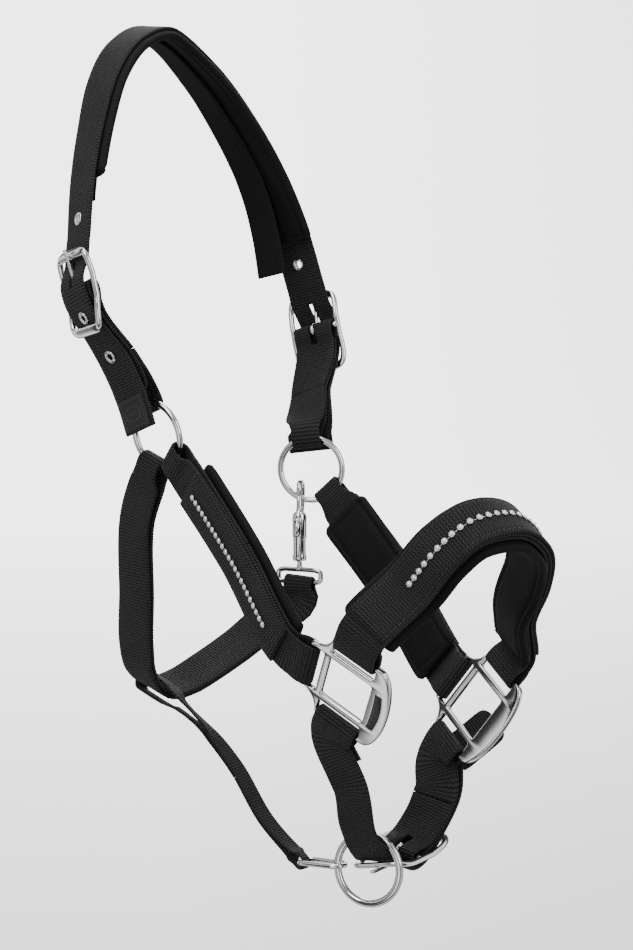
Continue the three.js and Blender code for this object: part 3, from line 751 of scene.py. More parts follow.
@dataclass(frozen=True)
class PadCloth:
    """Smooth padded cloth with a stitched channel inside its border; the channel is painted darker, a painted
    shade, and the thread lighter, a painted highlight.
    """

    name: str = "pad cloth"
    seam: float = 5.0
    # the dark cloth colour, then the lighter one used for the fuzz and for the painted highlight on the
    # thread
    base: tuple[float, ...] = (AXIS, 0.001, 0.0011, 1.0)
    raised: tuple[float, ...] = (0.005, 0.005, 0.0055, 1.0)

    def build(self) -> bpy.types.Material:
        """Make the material.

        Returns:
            The material.
        """
        shader = Shader(self.name)
        across, along = shader.cloth("cloth")
        side, _ = shader.cloth("border")
        knit = (across * 9.0).sine() * (along * 9.0).sine() * 0.5 + 0.5
        fuzz = shader.noise(1800.0)
        channel = side.hump(self.seam, 1.3)
        thread = side.hump(self.seam, 0.45) * (((along + across) % 3.2) < 2.2)
        height = (knit * 0.25 + fuzz * 0.3) * (1 - channel) + thread * 0.8 - channel * 0.5
        # painted shade in the sewn channel and painted highlight on the thread; the fuzz adds random tone
        tone = shader.math("MAXIMUM", fuzz * 0.6 + thread * 0.5 - channel * 0.3, 0.0)
        return shader.finish(
            Base_Color=shader.blend(tone, self.base, self.raised),
            Roughness=0.62 + fuzz * 0.2,
            Normal=shader.bump(height, 0.0003, 0.6),
            Sheen_Weight=0.03,
            Sheen_Roughness=0.4,
            Specular_IOR_Level=0.2,
        )


@dataclass(frozen=True)
class Plated:
    """Bright plating over a polished casting, with faint handling marks."""

    name: str = "bright plating"
    colour: tuple[float, ...] = (0.80, 0.79, 0.77, 1.0)
    worn: tuple[float, ...] = (0.70, 0.68, 0.65, 1.0)
    gloss: float = 0.07

    def build(self) -> bpy.types.Material:
        """Make the material.

        Returns:
            The material.
        """
        shader = Shader(self.name)
        cloudy = shader.noise(90.0, 4.0)
        scuff = shader.noise(900.0, 2.0)
        return shader.finish(
            Base_Color=shader.blend(cloudy, self.colour, self.worn),
            Metallic=1.0,
            Roughness=self.gloss + cloudy * 0.06 + (scuff**4.0) * 0.2,
            Normal=shader.bump(cloudy * 0.7 + scuff * 0.05, 0.00012, 0.35),
        )


@dataclass(frozen=True)
class Stone:
    """Clear cut stone over a bright foil."""

    name: str = "cut stone"

    def build(self) -> bpy.types.Material:
        """Make the material.

        Returns:
            The material.
        """
        shader = Shader(self.name)
        # painted reflection: the bluish patches of the colour stand in for fire, flashes of dispersed light
        # in the cut stone
        fire = shader.noise(700.0, 1.0)
        colour = shader.blend(fire, (0.97, 0.98, 1.0, 1.0), (0.72, 0.80, 0.92, 1.0))
        return shader.finish(
            Base_Color=colour,
            Metallic=0.75,
            Roughness=0.03 + fire * 0.05,
            Coat_Weight=1.0,
            Coat_Roughness=0.02,
        )


@dataclass(frozen=True)
class Rubber:
    """Moulded rubber patch: a raised border and a plain oval, painted lighter where they stand up, a painted
    highlight.
    """

    name: str = "moulded rubber"
    size: float = 25.0

    def build(self) -> bpy.types.Material:
        """Make the material.

        Returns:
            The material.
        """
        shader = Shader(self.name)
        across, along = shader.cloth("cloth")
        side, end = shader.cloth("border")
        rim = shader.math("MAXIMUM", side.hump(2.2, 0.6), end.hump(2.2, 0.6))
        x, y = across / 7.5, (along - self.size / 2 + 1.5) / 5.2
        oval = (x * x + y * y).hump(1.0, 0.28)
        bar = abs(y).hump(0.0, 0.16) * ((x * x) < 0.3)
        grain = shader.noise(2200.0)
        height = rim + oval + bar * 0.8 + grain * 0.12
        # painted highlight: the colour is lighter where the border, oval and bar are raised; the grain adds
        # random tone
        return shader.finish(
            Base_Color=shader.blend(height * 0.6, (0.004, 0.004, 0.0045, 1.0), (0.02, 0.02, 0.022, 1.0)),
            Roughness=0.55 + grain * 0.15,
            Normal=shader.bump(height, 0.0005, 0.9),
        )


@dataclass(frozen=True)
class Enamel:
    """Black enamel of the panels on the side squares."""

    name: str = "black enamel"

    def build(self) -> bpy.types.Material:
        """Make the material.

        Returns:
            The material.
        """
        shader = Shader(self.name)
        grain = shader.noise(1500.0)
        return shader.finish(
            Base_Color=shader.blend(grain, (0.006, 0.006, 0.007, 1.0), (0.02, 0.02, 0.022, 1.0)),
            Roughness=0.28 + grain * 0.2,
            Normal=shader.bump(grain, 0.0001, 0.4),
        )


@dataclass(frozen=True)
class Paper:
    """Pale glowing studio paper, brighter towards the back."""

    name: str = "pale paper"
    near: tuple[float, ...] = (0.42, 0.42, 0.423, 1.0)
    far: tuple[float, ...] = (1.0, 1.0, 1.0, 1.0)
    glow: float = 4.0

    def build(self) -> bpy.types.Material:
        """Make the material.

        Returns:
            The material.
        """
        shader = Shader(self.name)
        x, y, _ = shader.split(shader.node("ShaderNodeTexCoord").outputs["Object"])
        # painted light falloff: the glow fades towards the camera and, through side, towards one side of the
        # view
        share = ((x + y) * 0.24 + 0.1).unit()
        side = shader.math("MAXIMUM", (x - y) * 0.3, 0.0)
        return shader.finish(
            Base_Color=(0.02, 0.02, 0.02, 1.0),
            Emission_Color=shader.blend(share - side, self.near, self.far),
            Emission_Strength=self.glow,
            Roughness=0.9,
        )


class Finishes:
    """Every material of the headcollar, made once."""

    def __init__(self) -> None:
        """Build the materials."""
        self.webbing = Webbing().build()
        self.stitched = Webbing(name="stitched webbing", stitched=True).build()
        self.padding = PadCloth().build()
        self.plated = Plated().build()
        self.stone = Stone().build()
        self.rubber = Rubber().build()
        self.enamel = Enamel().build()
        self.floor = Paper().build()


class Workshop:
    """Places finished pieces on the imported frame."""

    def __init__(self, finishes: Finishes) -> None:
        """Keep the finishes and look up which body each CAD node rides on.

        Args:
            finishes: the materials.
        """
        self.finishes = finishes
        groups = frame["record"]["behaviour"]["bodies"]
        self.body_of = {node: body for body, nodes in groups.items() for node in nodes}

    def place(
        self, node: str, draft: Draft, slot: Slot, *materials: bpy.types.Material, cuts: Sequence[Draft] = ()
    ) -> bpy.types.Object:
        """Make a piece that stands for a CAD node.

        Args:
            node: the CAD node.
            draft: the piece's shape.
            slot: the record's material slot; not used.
            materials: the piece's materials, in the draft's order.
            cuts: shapes cut out of the piece.

        Returns:
            The piece.
        """
        piece = bpy.data.objects.new(f"{node}_look", draft.mesh(f"{node}_look"))
        bpy.context.scene.collection.objects.link(piece)
        for material in materials:
            piece.data.materials.append(material)
        if cuts:
            carve(piece, cuts)
        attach(piece, self.body_of[node])
        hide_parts(node)
        log.info("%s: %d points", piece.name, len(piece.data.vertices))
        return piece

    def metal(self, node: str, draft: Draft, cuts: Sequence[Draft] = ()) -> bpy.types.Object:
        """Place a plated piece."""
        return self.place(node, draft, Slot.PLATED, self.finishes.plated, cuts=cuts)

    def woven(
        self, node: str, draft: Draft, stitched: bool = False, cuts: Sequence[Draft] = ()
    ) -> bpy.types.Object:
        """Place a webbing piece, with or without stitching along its edges."""
        finish = self.finishes.stitched if stitched else self.finishes.webbing
        return self.place(node, draft, Slot.WEBBING, finish, cuts=cuts)

    def cushion(self, node: str, draft: Draft) -> None:
        """Place a padded piece."""
        self.place(node, draft, Slot.PADDING, self.finishes.padding)


def carve(piece: bpy.types.Object, cuts: Sequence[Draft]) -> None:
    """Cut shapes out of a piece's mesh.

    Args:
        piece: the object to cut.
        cuts: closed drafts to take away.
    """
    for draft in cuts:
        tool = bpy.data.objects.new("cutter", draft.mesh("cutter"))
        bpy.context.scene.collection.objects.link(tool)
        modifier = piece.modifiers.new("cut", "BOOLEAN")
        modifier.object = tool
        modifier.operation = "DIFFERENCE"
        modifier.solver = "EXACT"
        graph = bpy.context.evaluated_depsgraph_get()
        result = bpy.data.meshes.new_from_object(piece.evaluated_get(graph))
        piece.modifiers.clear()
        piece.data = result
        bpy.data.objects.remove(tool)


def basis(x: Vector, y: Vector, z: Vector, place: Vector) -> Matrix:
    """A placing matrix from three axes and an origin."""
    return Matrix.Translation(place) @ Matrix((x, y, z)).transposed().to_4x4()


# ---------- shared places ----------


def slipped(side: Side, x: float, y: float, z: float) -> Vector:
    """A place on one side, moved round the poll with the whole headcollar."""
    return vec(side.sign * x, y, z - side.sign * SLIP * min(1.0, x / 60))


@dataclass(frozen=True)
class CheekRing:
    """A ring that joins the billet, the cheek and the throat strap or snap on one side."""

    side: Side
    radius: float = 20.7
    wire: float = 2.05

    @property
    def centre(self) -> Vector:
        """The ring's middle."""
        return slipped(self.side, 68, 73, 10)

    @property
    def normal(self) -> Vector:
        """The ring's axis."""
        return (vec(0.82, 0.57, 0) if self.side is Side.LEFT else vec(-0.985, 0, -0.17)).normalized()

    def leaving(self, towards: Vector, reach: float) -> Vector:
        """Where a strap heading for a place leaves the ring, in the ring's plane.

        Args:
            towards: the place the strap heads for.
            reach: distance from the ring's middle.

        Returns:
            The place on the strap's line.
        """
        way = towards - self.centre
        way -= self.normal * way.dot(self.normal)
        return self.centre + way.normalized() * reach

    def build(self, shop: Workshop) -> None:
        """Make the ring."""
        ring = hoop(self.centre, self.normal, self.radius, self.wire)
        shop.metal(f"{self.side.value}_cheek_ring", ring)


def hoop(centre: Vector, normal: Vector, radius: float, wire: float) -> Draft:
    """A round wire ring with a slightly raised weld.

    Args:
        centre: the ring's middle.
        normal: its axis.
        radius: from the middle to the wire's middle.
        wire: the wire's radius.

    Returns:
        The ring's draft.
    """
    side = normal.cross(vec(0, 0, 1)).normalized()
    rise = side.cross(normal)
    count = 96
    turns = [2 * math.pi * i / count for i in range(count)]
    line = [centre + side * (radius * math.cos(t)) + rise * (radius * math.sin(t)) for t in turns]

    def thickness(i: int) -> tuple[float, float]:
        """The wire's radii, a little fuller at the weld."""
        swell = wire * (1 + 0.06 * math.exp(-(((i - 30) / 1.3) ** 2)))
        return swell, swell

    return Draft().tube(line, thickness, normal, closed=True)


@dataclass
class SideSquare:
    """A casting with three strap slots, flared horns and an enamelled panel on its crescent plate."""

    side: Side
    thick: float = 4.0
    panel_ends: tuple[float, float] = (-13.5, 15.0)
    panel_underside: float = 0.02  # above the plate's face, as are the next two
    panel_face: float = 0.16
    rim_lift: float = 0.05
    rim_wire: float = 0.35

    def __post_init__(self) -> None:
        """Work out the square's own axes."""
        sign = self.side.sign
        self.out = vec(sign * 0.935, -0.056, -0.35).normalized()
        a = vec(-sign * 0.232, -0.842, -0.485)
        self.a = (a - self.out * a.dot(self.out)).normalized()
        self.b = self.out.cross(self.a) * sign
        self.centre = vec(sign * 57.4, -83, -130.5 - sign * 11.8)

    def at(self, x: float, y: float, z: float = 0.0) -> Vector:
        """A place in the square's own axes."""
        return self.centre + self.a * x + self.b * y + self.out * z

    def outline(self) -> list[Vector]:
        """The casting's outer edge, with horns at its corners and the crescent at the front.

        Returns:
            The edge's points.
        """
        outer = BAR_REACH + 1.2
        corner = arc_between((-outer, -17.2), (-18.6, -18.6), (-17.2, -outer), 10)
        crescent = [
            (17.5 + 13.3 * math.cos(t) ** 0.8, outer * math.sin(t))
            for t in (math.pi / 2 * (k / 16) for k in range(-15, 16))
        ]
        other = arc_between((-17.2, outer), (-18.6, 18.6), (-outer, 17.2), 10)
        return [vec(x, y, 0) for x, y in [*corner, (16.8, -outer), *crescent, (16.8, outer), *other]]

    def build(self, shop: Workshop) -> None:
        """Make the casting and its panel.

        Args:
            shop: makes and places the pieces.
        """
        inner = BAR_REACH - 1.9
        holes = [
            slot_outline(-16, -15.5, 16, 15.5),
            slot_outline(-15.8, -inner, 15.8, -19.7),
            slot_outline(-15.8, 19.7, 15.8, inner),
            slot_outline(-inner, -15.8, -20.2, 15.8),
        ]
        draft = cast_plate(self.outline(), holes, self.thick, self.at)
        self.add_panel(draft)
        materials = (shop.finishes.plated, shop.finishes.enamel)
        shop.place(f"{self.side.value}_side_square", draft, Slot.PLATED, *materials)

    def add_panel(self, draft: Draft) -> None:
        """Add the blank enamelled panel and its thin plated rim to the crescent.

        Args:
            draft: the casting's draft, which the panel joins.
        """
        top = self.thick / 2
        floor, face = top + self.panel_underside, top + self.panel_face
        low, high = self.panel_ends
        steps = [low + (high - low) * k / 20 for k in range(21)]
        left = [(26.9 - 0.012 * b * b, b) for b in steps]
        right = [(20.2 - 0.004 * b * b, b) for b in reversed(steps)]
        rim = [self.at(x, y, top + self.rim_lift) for x, y in [*left, *right]]
        draft.tube(rim, self.rim_wire, self.out, closed=True, sides=8)
        rows = [
            [self.at(x0, y, floor), self.at(x1, y, floor), self.at(x1, y, face), self.at(x0, y, face)]
            for (x0, y), (x1, _) in zip(left, reversed(right))
        ]
        draft.loft(rows, finish=1)


def arc_between(
    start: tuple[float, float], pull: tuple[float, float], end: tuple[float, float], count: int
) -> list[tuple[float, float]]:
    """A curve from start to end drawn towards a third point.

    Args:
        start: where the curve starts.
        pull: the point that draws it.
        end: where it ends.
        count: the number of steps.

    Returns:
        The curve's points.
    """
    points = []
    for k in range(count + 1):
        t = k / count
        a, b, c = (1 - t) ** 2, 2 * t * (1 - t), t * t
        points.append(tuple(a * p + b * q + c * r for p, q, r in zip(start, pull, end)))
    return points


def slot_outline(x0: float, y0: float, x1: float, y1: float, radius: float = 1.6) -> list[Vector]:
    """A rectangle with rounded corners.

    Args:
        x0: left edge.
        y0: lower edge.
        x1: right edge.
        y1: upper edge.
        radius: the corners' radius.

    Returns:
        The outline's points.
    """
    corners = [
        (x1 - radius, y1 - radius, 0),
        (x0 + radius, y1 - radius, 90),
        (x0 + radius, y0 + radius, 180),
        (x1 - radius, y0 + radius, 270),
    ]
    points = []
    for x, y, first in corners:
        for k in range(6):
            turn = math.radians(first + 18 * k)
            points.append(vec(x + radius * math.cos(turn), y + radius * math.sin(turn), 0))
    return points


def cast_plate(
    outline: list[Vector],
    holes: list[list[Vector]],
    thick: float,
    at: Callable[[float, float, float], Vector],
) -> Draft:
    """A plate with holes and fully rounded edges.

    Args:
        outline: the outer edge.
        holes: the holes' edges.
        thick: the plate's thickness.
        at: turns the plate's own places into the drawing's.

    Returns:
        The plate's draft.
    """
    curve = bpy.data.curves.new("plate", "CURVE")
    curve.dimensions = "2D"
    curve.fill_mode = "BOTH"
    round_off = 1.15
    curve.extrude = thick / 2 - round_off
    curve.bevel_depth = round_off
    curve.bevel_resolution = 3
    curve.offset = -round_off
    for points in (outline, *holes):
        spline = curve.splines.new("POLY")
        spline.points.add(len(points) - 1)
        spline.use_cyclic_u = True
        for point, place in zip(spline.points, points):
            point.co = (*place, 1.0)
    holder = bpy.data.objects.new("plate", curve)
    mesh = bpy.data.meshes.new_from_object(holder)
    draft = Draft(places=[at(*vertex.co) for vertex in mesh.vertices])
    draft.faces = [tuple(face.vertices) for face in mesh.polygons]
    draft.finish = [0] * len(draft.faces)
    draft.cloth = [(0.0, 0.0)] * len(draft.places)
    draft.border = [(0.0, 0.0)] * len(draft.places)
    bpy.data.objects.remove(holder)
    bpy.data.meshes.remove(mesh)
    bpy.data.curves.remove(curve)
    return draft


# ---------- buckles, eyelets and stones ----------


def rod_height(v: float) -> float:
    """Height of a buckle's rods above its centre bar, at v along the frame."""
    return (5.0 if v > 0 else 9.0) * abs(v / BUCKLE_HALF) ** 1.4


@dataclass(frozen=True)
class Buckle:
    """A frame with a centre bar and one tongue, at s on a spine."""

    name: str
    tongue: str
    spine: Spine
    s: float

    def build(self, shop: Workshop) -> None:
        """Make the frame and the tongue."""
        shop.metal(self.name, self.frame())
        shop.metal(self.tongue, self.prong())

    def frame(self) -> Draft:
        """The frame: broad flat end bars, slim side rods and the centre bar.

        Returns:
            The frame's draft.
        """

        def shaped(value: float) -> float:
            """A superellipse's share of its half size."""
            return math.copysign(abs(value) ** (2 / 7), value)

        count = 160
        turns = [2 * math.pi * (i + 0.5) / count for i in range(count)]
        lengths = [BUCKLE_HALF * shaped(math.cos(t)) for t in turns]
        sides = [BUCKLE_SIDE * shaped(math.sin(t)) for t in turns]
        line = [self.spine.at(self.s + v, rod_height(v), w) for v, w in zip(lengths, sides)]
        ups = [self.spine.frame(self.s + v)[2] for v in lengths]

        def radii(i: int) -> tuple[float, float]:
            """Broad and flat at the end bars, round along the sides."""
            end = abs(lengths[i] / BUCKLE_HALF) ** 14
            return ROD * (0.92 + 0.75 * end), ROD * (0.95 - 0.1 * end)

        bar = [self.spine.at(self.s, 0, BUCKLE_SIDE * (k / 8 - 1)) for k in range(17)]
        up = self.spine.frame(self.s)[2]
        return Draft().tube(line, radii, ups, closed=True).tube(bar, ROD * 0.95, up)

    def prong(self) -> Draft:
        """The tongue: an eye round the centre bar and a shaft to the end bar.

        Returns:
            The tongue's draft.
        """
        eye = ROD + AIR + 1.3
        turns = [math.radians(15 - 14.25 * k) for k in range(21)]
        route = [(eye * math.cos(t), eye * math.sin(t)) for t in turns]
        rest = rod_height(BUCKLE_HALF) + ROD + 6 * AIR + 1.3
        route += [(5, 3.9), (10, 5), (15, 6.3), (20, 7.3), (BUCKLE_HALF + 2.5, rest)]
        smooth = rounded([(v, n, 0.0) for v, n in route], passes=2, step=1.5)
        line = [self.spine.at(self.s + v, n) for v, n, _ in smooth]
        across = self.spine.frame(self.s)[3]

        def radii(i: int) -> tuple[float, float]:
            """Slimmer and flatter towards the tip."""
            tip = i / len(line)
            return 1.25 - 0.2 * tip, 1.35

        return Draft().tube(line, radii, across)


@dataclass(frozen=True)
class Eyelet:
    """A plated eyelet pressed into a strap."""

    name: str
    place: Matrix
    hole: float = 2.25

    def build(self, shop: Workshop) -> None:
        """Make the eyelet.

        Args:
            shop: makes and places the pieces.
        """
        h = self.hole
        back = [(h, -1.3), (h + 0.3, -1.75), (h + 1.2, -1.9), (h + 1.5, -1.6), (h + 0.75, -1.35)]
        rim = [(h + 0.75, 1.3), (h + 2.05, 1.2), (h + 2.1, 1.5), (h + 1.6, 1.85), (h + 0.8, 2.0)]
        profile = [*back, *rim, (h + 0.25, 1.8), (h, 1.3), back[0]]
        shop.metal(self.name, Draft().lathe(profile, self.place))

    def cutter(self) -> Draft:
        """The round hole that the eyelet needs in its strap."""
        radius = self.hole + 0.8
        return Draft().lathe([(AXIS, -6), (radius, -6), (radius, 6), (AXIS, 6)], self.place, sides=24)


def facet(spine: Spine, path: Sequence[PathPoint], s: float) -> Matrix:
    """The placing of something that lies flat on a strap at s.

    Args:
        spine: the strap's line.
        path: the strap's path.
        s: where the thing lies.

    Returns:
        A matrix with X across, Y along and Z out of the strap.
    """
    pairs = list(zip(path, path[1:]))
    a, b = next((a, b) for a, b in pairs if min(a[0], b[0]) <= s <= max(a[0], b[0]))
    share = (s - a[0]) / (b[0] - a[0])
    start, end = spine.at(a[0], a[1]), spine.at(b[0], b[1])
    across = spine.frame(s)[3]
    along = (end - start) * math.copysign(1.0, b[0] - a[0])
    along = (along - across * along.dot(across)).normalized()
    return basis(across, along, across.cross(along), start.lerp(end, share))


@dataclass(frozen=True)
class CrystalChain:
    """A row of cut stones in plated cups along a spine."""

    name: str
    spine: Spine
    s0: float
    s1: float
    n: float
    pitch: float = 4.3
    cup: tuple[tuple[float, float], ...] = (
        (AXIS, -0.9), (1.3, -0.9), (1.9, -0.2), (1.85, 0.35), (1.55, 0.4), (1.5, 0.0), (AXIS, -0.2)
    )
    stone: tuple[tuple[float, float], ...] = (
        (AXIS, -0.1), (1.5, 0.2), (1.45, 0.45), (0.8, 1.05), (AXIS, 1.07)
    )

    def build(self, shop: Workshop) -> None:
        """Make the row of stones.

        Args:
            shop: makes and places the pieces.
        """
        draft = Draft()
        count = int((self.s1 - self.s0) / self.pitch)
        for k in range(count + 1):
            s = self.s0 + (self.s1 - self.s0) * k / count
            place, along, out, across = self.spine.frame(s)
            seat = basis(across, along, out, place + out * self.n)
            draft.lathe(self.cup, seat, sides=14)
            draft.lathe(self.stone, seat, sides=8, finish=1)
            if k:
                before = self.spine.at(s - self.pitch, self.n - 0.75)
                draft.tube([before, self.spine.at(s, self.n - 0.75)], 0.2, out, sides=6)
        shop.place(self.name, draft, Slot.CRYSTAL, shop.finishes.plated, shop.finishes.stone)


def block(spine: Spine, s: tuple[float, float], n: tuple[float, float], half: float) -> Draft:
    """A block in a spine's own places, from s to s and from n to n, for cutting slots."""
    corners = [(n[1], half), (n[1], -half), (n[0], -half), (n[0], half)]
    return Draft().loft([[spine.at(place, height, w) for height, w in corners] for place in s])


# ---------- sub-assemblies ----------


@dataclass
class Crown:
    """The headpiece: strap, pad, lining, billets, crown buckles, eyelets and end patches."""

    rings: dict[Side, CheekRing]
    eyelets: tuple[float, ...] = (46, -15.5, -44)
    pad_ends: dict[Side, float] = field(default_factory=lambda: {Side.RIGHT: 72.0, Side.LEFT: 60.0})
    leg: tuple[tuple[Vector, Vector], ...] = (
        (vec(83, 90.5, 59), vec(0.95, 0, -0.25)),
        (vec(98.5, 98.5, 85), vec(0.96, 0.22, -0.05)),
        (vec(102, 103.5, 100.3), vec(0.97, 0.24, 0.1)),
        (vec(101.5, 108, 117), vec(0.96, 0.24, 0.15)),
        (vec(97, 112, 141), vec(0.95, 0.24, 0.2)),
        (vec(90, 117, 170), vec(0.92, 0.22, 0.3)),
        (vec(78, 123, 203), vec(0.86, 0.18, 0.45)),
        (vec(61, 130, 236), vec(0.75, 0.1, 0.65)),
        (vec(35, 138, 266), vec(0.5, 0, 0.85)),
    )
    hanging: tuple[tuple[float, float], ...] = (
        (-97, 11), (-86, 10.4), (-74, 9.4), (-62, 7.4), (-50, 5.6), (-38, 4.9),
        (-28, 4.6), (-21, 4.8), (-10.5, 5.9), (-6, 6.5), (0, 6.7), (5, 6.5),
        (9, 5.1), (13, 3.1), (17, 1.4), (22.5, 0.6), (29, 0.6), (38, 0),
    )

    def __post_init__(self) -> None:
        """Lay out the spine and find both buckles on it."""
        crest = (vec(0, 143.5, 284), vec(0, -0.1, 1))
        self.spine = Spine([*self.stations(Side.RIGHT), crest, *reversed(self.stations(Side.LEFT))])
        self.buckle = {Side.RIGHT: self.spine.marks[4], Side.LEFT: self.spine.marks[-5]}

    def stations(self, side: Side) -> list[Station]:
        """One leg's stations, from its ring up.

        Args:
            side: the side.

        Returns:
            The stations, in order.
        """
        ring = self.rings[side]
        leg = [(slipped(side, *place), vec(side.sign * out.x, out.y, out.z)) for place, out in self.leg]
        return [(ring.centre, ring.normal), (ring.leaving(leg[0][0], FOLD_REACH + 6), ring.normal), *leg]

    def up(self, side: Side, h: float) -> float:
        """The place on the spine at a distance up a leg from its buckle's centre bar."""
        return self.buckle[side] - side.sign * h

    def strap_path(self) -> list[PathPoint]:
        """The crown strap's path, from the right tip over the poll to the left tip.

        Returns:
            The path's points.
        """
        right = [(self.up(Side.RIGHT, h), n, WEB) for h, n in self.hanging]
        left = [(self.up(Side.LEFT, h), n, WEB) for h, n in reversed(self.hanging)]
        return [*right, *left]

    def build(self, shop: Workshop) -> None:
        """Make every piece of the headpiece.

        Args:
            shop: makes and places the pieces.
        """
        path = rounded(self.strap_path(), passes=1)
        cuts = []
        for side in Side:
            self.build_leg(shop, side)
            slot = sorted((self.up(side, 2.5), self.up(side, 18)))
            cuts.append(block(self.spine, (slot[0], slot[1]), (-4, 14), 1.9))
            for i, h in enumerate(self.eyelets):
                place = facet(self.spine, path, self.up(side, h))
                eyelet = Eyelet(f"{side.value}_crown_eyelet_{i + 1}", place)
                eyelet.build(shop)
                cuts.append(eyelet.cutter())
        shop.woven("crown_strap", strap(self.spine, path), stitched=True, cuts=cuts)
        low = -(PLY / 2 + AIR + PAD / 2)
        ends = [self.up(side, self.pad_ends[side]) for side in Side]
        shop.cushion("crown_pad", pad(self.spine, *ends, low, PAD_WIDTH))
        self.build_lining(shop)

    def build_lining(self, shop: Workshop) -> None:
        """Make the loose strip behind the pad, hanging clear of it on the left.

        Args:
            shop: makes and places the pieces.
        """
        under = -(PLY / 2 + AIR + PAD + AIR + 1.1)
        start = self.up(Side.RIGHT, 60)
        drops = [(130, 0.0), (100, -2.5), (80, -6.0), (60, -10.5), (44, -14.5)]
        hanging = [(self.up(Side.LEFT, h), under + drop, 22.0) for h, drop in drops]
        path = rounded([(start, under, 20.0), *hanging])
        draft = strap(self.spine, path, thickness=1.8)
        middle = (PAD_WIDTH - 20) / 2
        count = len(draft.places) // len(path)
        back = [self.spine.frame(s)[3] * -middle for s, _, _ in path for _ in range(count)]
        draft.places = [place + shift for place, shift in zip(draft.places, back)]
        shop.cushion("crown_lining", draft)

    def build_leg(self, shop: Workshop, side: Side) -> None:
        """Make one leg's billet, buckle and end patch.

        Args:
            shop: makes and places the pieces.
            side: the side.
        """
        way = -side.sign
        ring_s = 0.0 if side is Side.RIGHT else self.spine.length
        span = abs(self.buckle[side] - ring_s)
        bar = ROD + AIR + PLY / 2
        start = Fold(FOLD_REACH, FOLD_RADIUS, FOLD_WIDTH, 15)
        route = doubled(start, Fold(span, bar, WEB, 11), span * 0.55)
        path = [(ring_s + way * h, n, width) for h, n, width in rounded(route)]
        slot = sorted((self.buckle[side] - way * 11, self.buckle[side] + way * 5))
        cut = block(self.spine, (slot[0], slot[1]), (-6, 6), 2.6)
        shop.woven(f"{side.value}_billet", strap(self.spine, path), cuts=[cut])
        lying = ((-96.5, 11), (-86, 10.4), (-74, 9.4))
        patch = [(self.up(side, h), n + PLY / 2 + 0.75, 25.0) for h, n in lying]
        draft = strap(self.spine, rounded(patch, passes=1, step=2), thickness=1.4)
        shop.place(f"{side.value}_strap_patch", draft, Slot.PATCH, shop.finishes.rubber)
        spine = self.spine if side is Side.RIGHT else Spine(self.stations(side))
        name = f"{side.value}_crown"
        Buckle(f"{name}_buckle", f"{name}_tongue", spine, spine.marks[4]).build(shop)


@dataclass
class Cheek:
    """One cheek: doubled strap, second layer, pad and crystal chain."""

    ring: CheekRing
    square: SideSquare

    def build(self, shop: Workshop) -> None:
        """Make the cheek's pieces.

        Args:
            shop: makes and places the pieces.
        """
        side = self.ring.side
        bar = self.square.at(-BAR_REACH, 0)
        start = self.ring.leaving(bar, FOLD_REACH)
        middle = start.lerp(bar, 0.5) + vec(side.sign * 4, -1, 1)
        lead = self.square.at(-BAR_REACH - 18, 0, 1)
        out = vec(side.sign * 0.95, -0.02, -0.3)
        square_out = self.square.out
        spine = Spine([(start, self.ring.normal), (middle, out), (lead, square_out), (bar, square_out)])
        end = spine.length
        loop = Fold(0, FOLD_RADIUS, FOLD_WIDTH, 16)
        route = doubled(loop, Fold(end, LOOP_RADIUS, WEB, 13), end * 0.5)
        name = f"{side.value}_cheek"
        shop.woven(f"{name}_strap", strap(spine, rounded(route)))
        overlay = rounded([(24, OVERLAY_N, WEB), (end - 20, OVERLAY_N, WEB)])
        shop.woven(f"{name}_overlay", strap(spine, overlay), stitched=True)
        low = -(PLY + AIR * 1.5 + PAD / 2) - 0.4
        shop.cushion(f"{name}_pad", pad(spine, 20, end - 14, low, PAD_WIDTH))
        CrystalChain(f"{name}_chain", spine, 32, end - 36, CHAIN_N).build(shop)


@dataclass
class Noseband:
    """The band over the nose: doubled strap, second layer, pad and crystal chain."""

    squares: dict[Side, SideSquare]
    chain_half: float = 84.0

    def stations(self, side: Side) -> list[Station]:
        """One side's stations, from its square up.

        Args:
            side: the side.

        Returns:
            The stations, in order.
        """
        square, sign = self.squares[side], side.sign
        ease = vec(0.704, 0.704, -0.087) * (8.0 if side is Side.LEFT else 0.0)
        rest = [
            (vec(49, -126, -66), 1.0, vec(sign, -0.15, -0.2)),
            (vec(42, -142, -43), 0.5, vec(sign, -0.3, 0.15)),
            (vec(28, -154, -25), 0.0, vec(sign * 0.75, -0.4, 0.5)),
        ]
        shifted = []
        for place, share, out in rest:
            slip = sign * 12 * min(1.0, place.x / 50)
            shifted.append((vec(sign * place.x, place.y, place.z - slip) + ease * share, out))
        lead = [(square.at(0, -BAR_REACH), square.out), (square.at(0, -BAR_REACH - 16, 0.5), square.out)]
        return [*lead, *shifted]

    def build(self, shop: Workshop) -> None:
        """Make the noseband's pieces.

        Args:
            shop: makes and places the pieces.
        """
        crest = (vec(0, -160, -17), vec(0, -0.57, 0.82))
        spine = Spine([*self.stations(Side.RIGHT), crest, *reversed(self.stations(Side.LEFT))])
        end = spine.length
        route = doubled(Fold(0, LOOP_RADIUS, WEB, 13), Fold(end, LOOP_RADIUS, WEB, 13), end * 0.5)
        shop.woven("nose_strap", strap(spine, rounded(route)))
        overlay = rounded([(22, OVERLAY_N, WEB), (end - 22, OVERLAY_N, WEB)])
        shop.woven("nose_overlay", strap(spine, overlay), stitched=True)
        low = -(PLY + AIR * 1.5 + PAD / 2) - 0.6
        shop.cushion("nose_pad", pad(spine, 17, end - 17, low, PAD_WIDTH + 3))
        first, last = end * 0.5 - self.chain_half, end * 0.5 + self.chain_half
        CrystalChain("nose_chain", spine, first, last, CHAIN_N, pitch=5.4).build(shop)


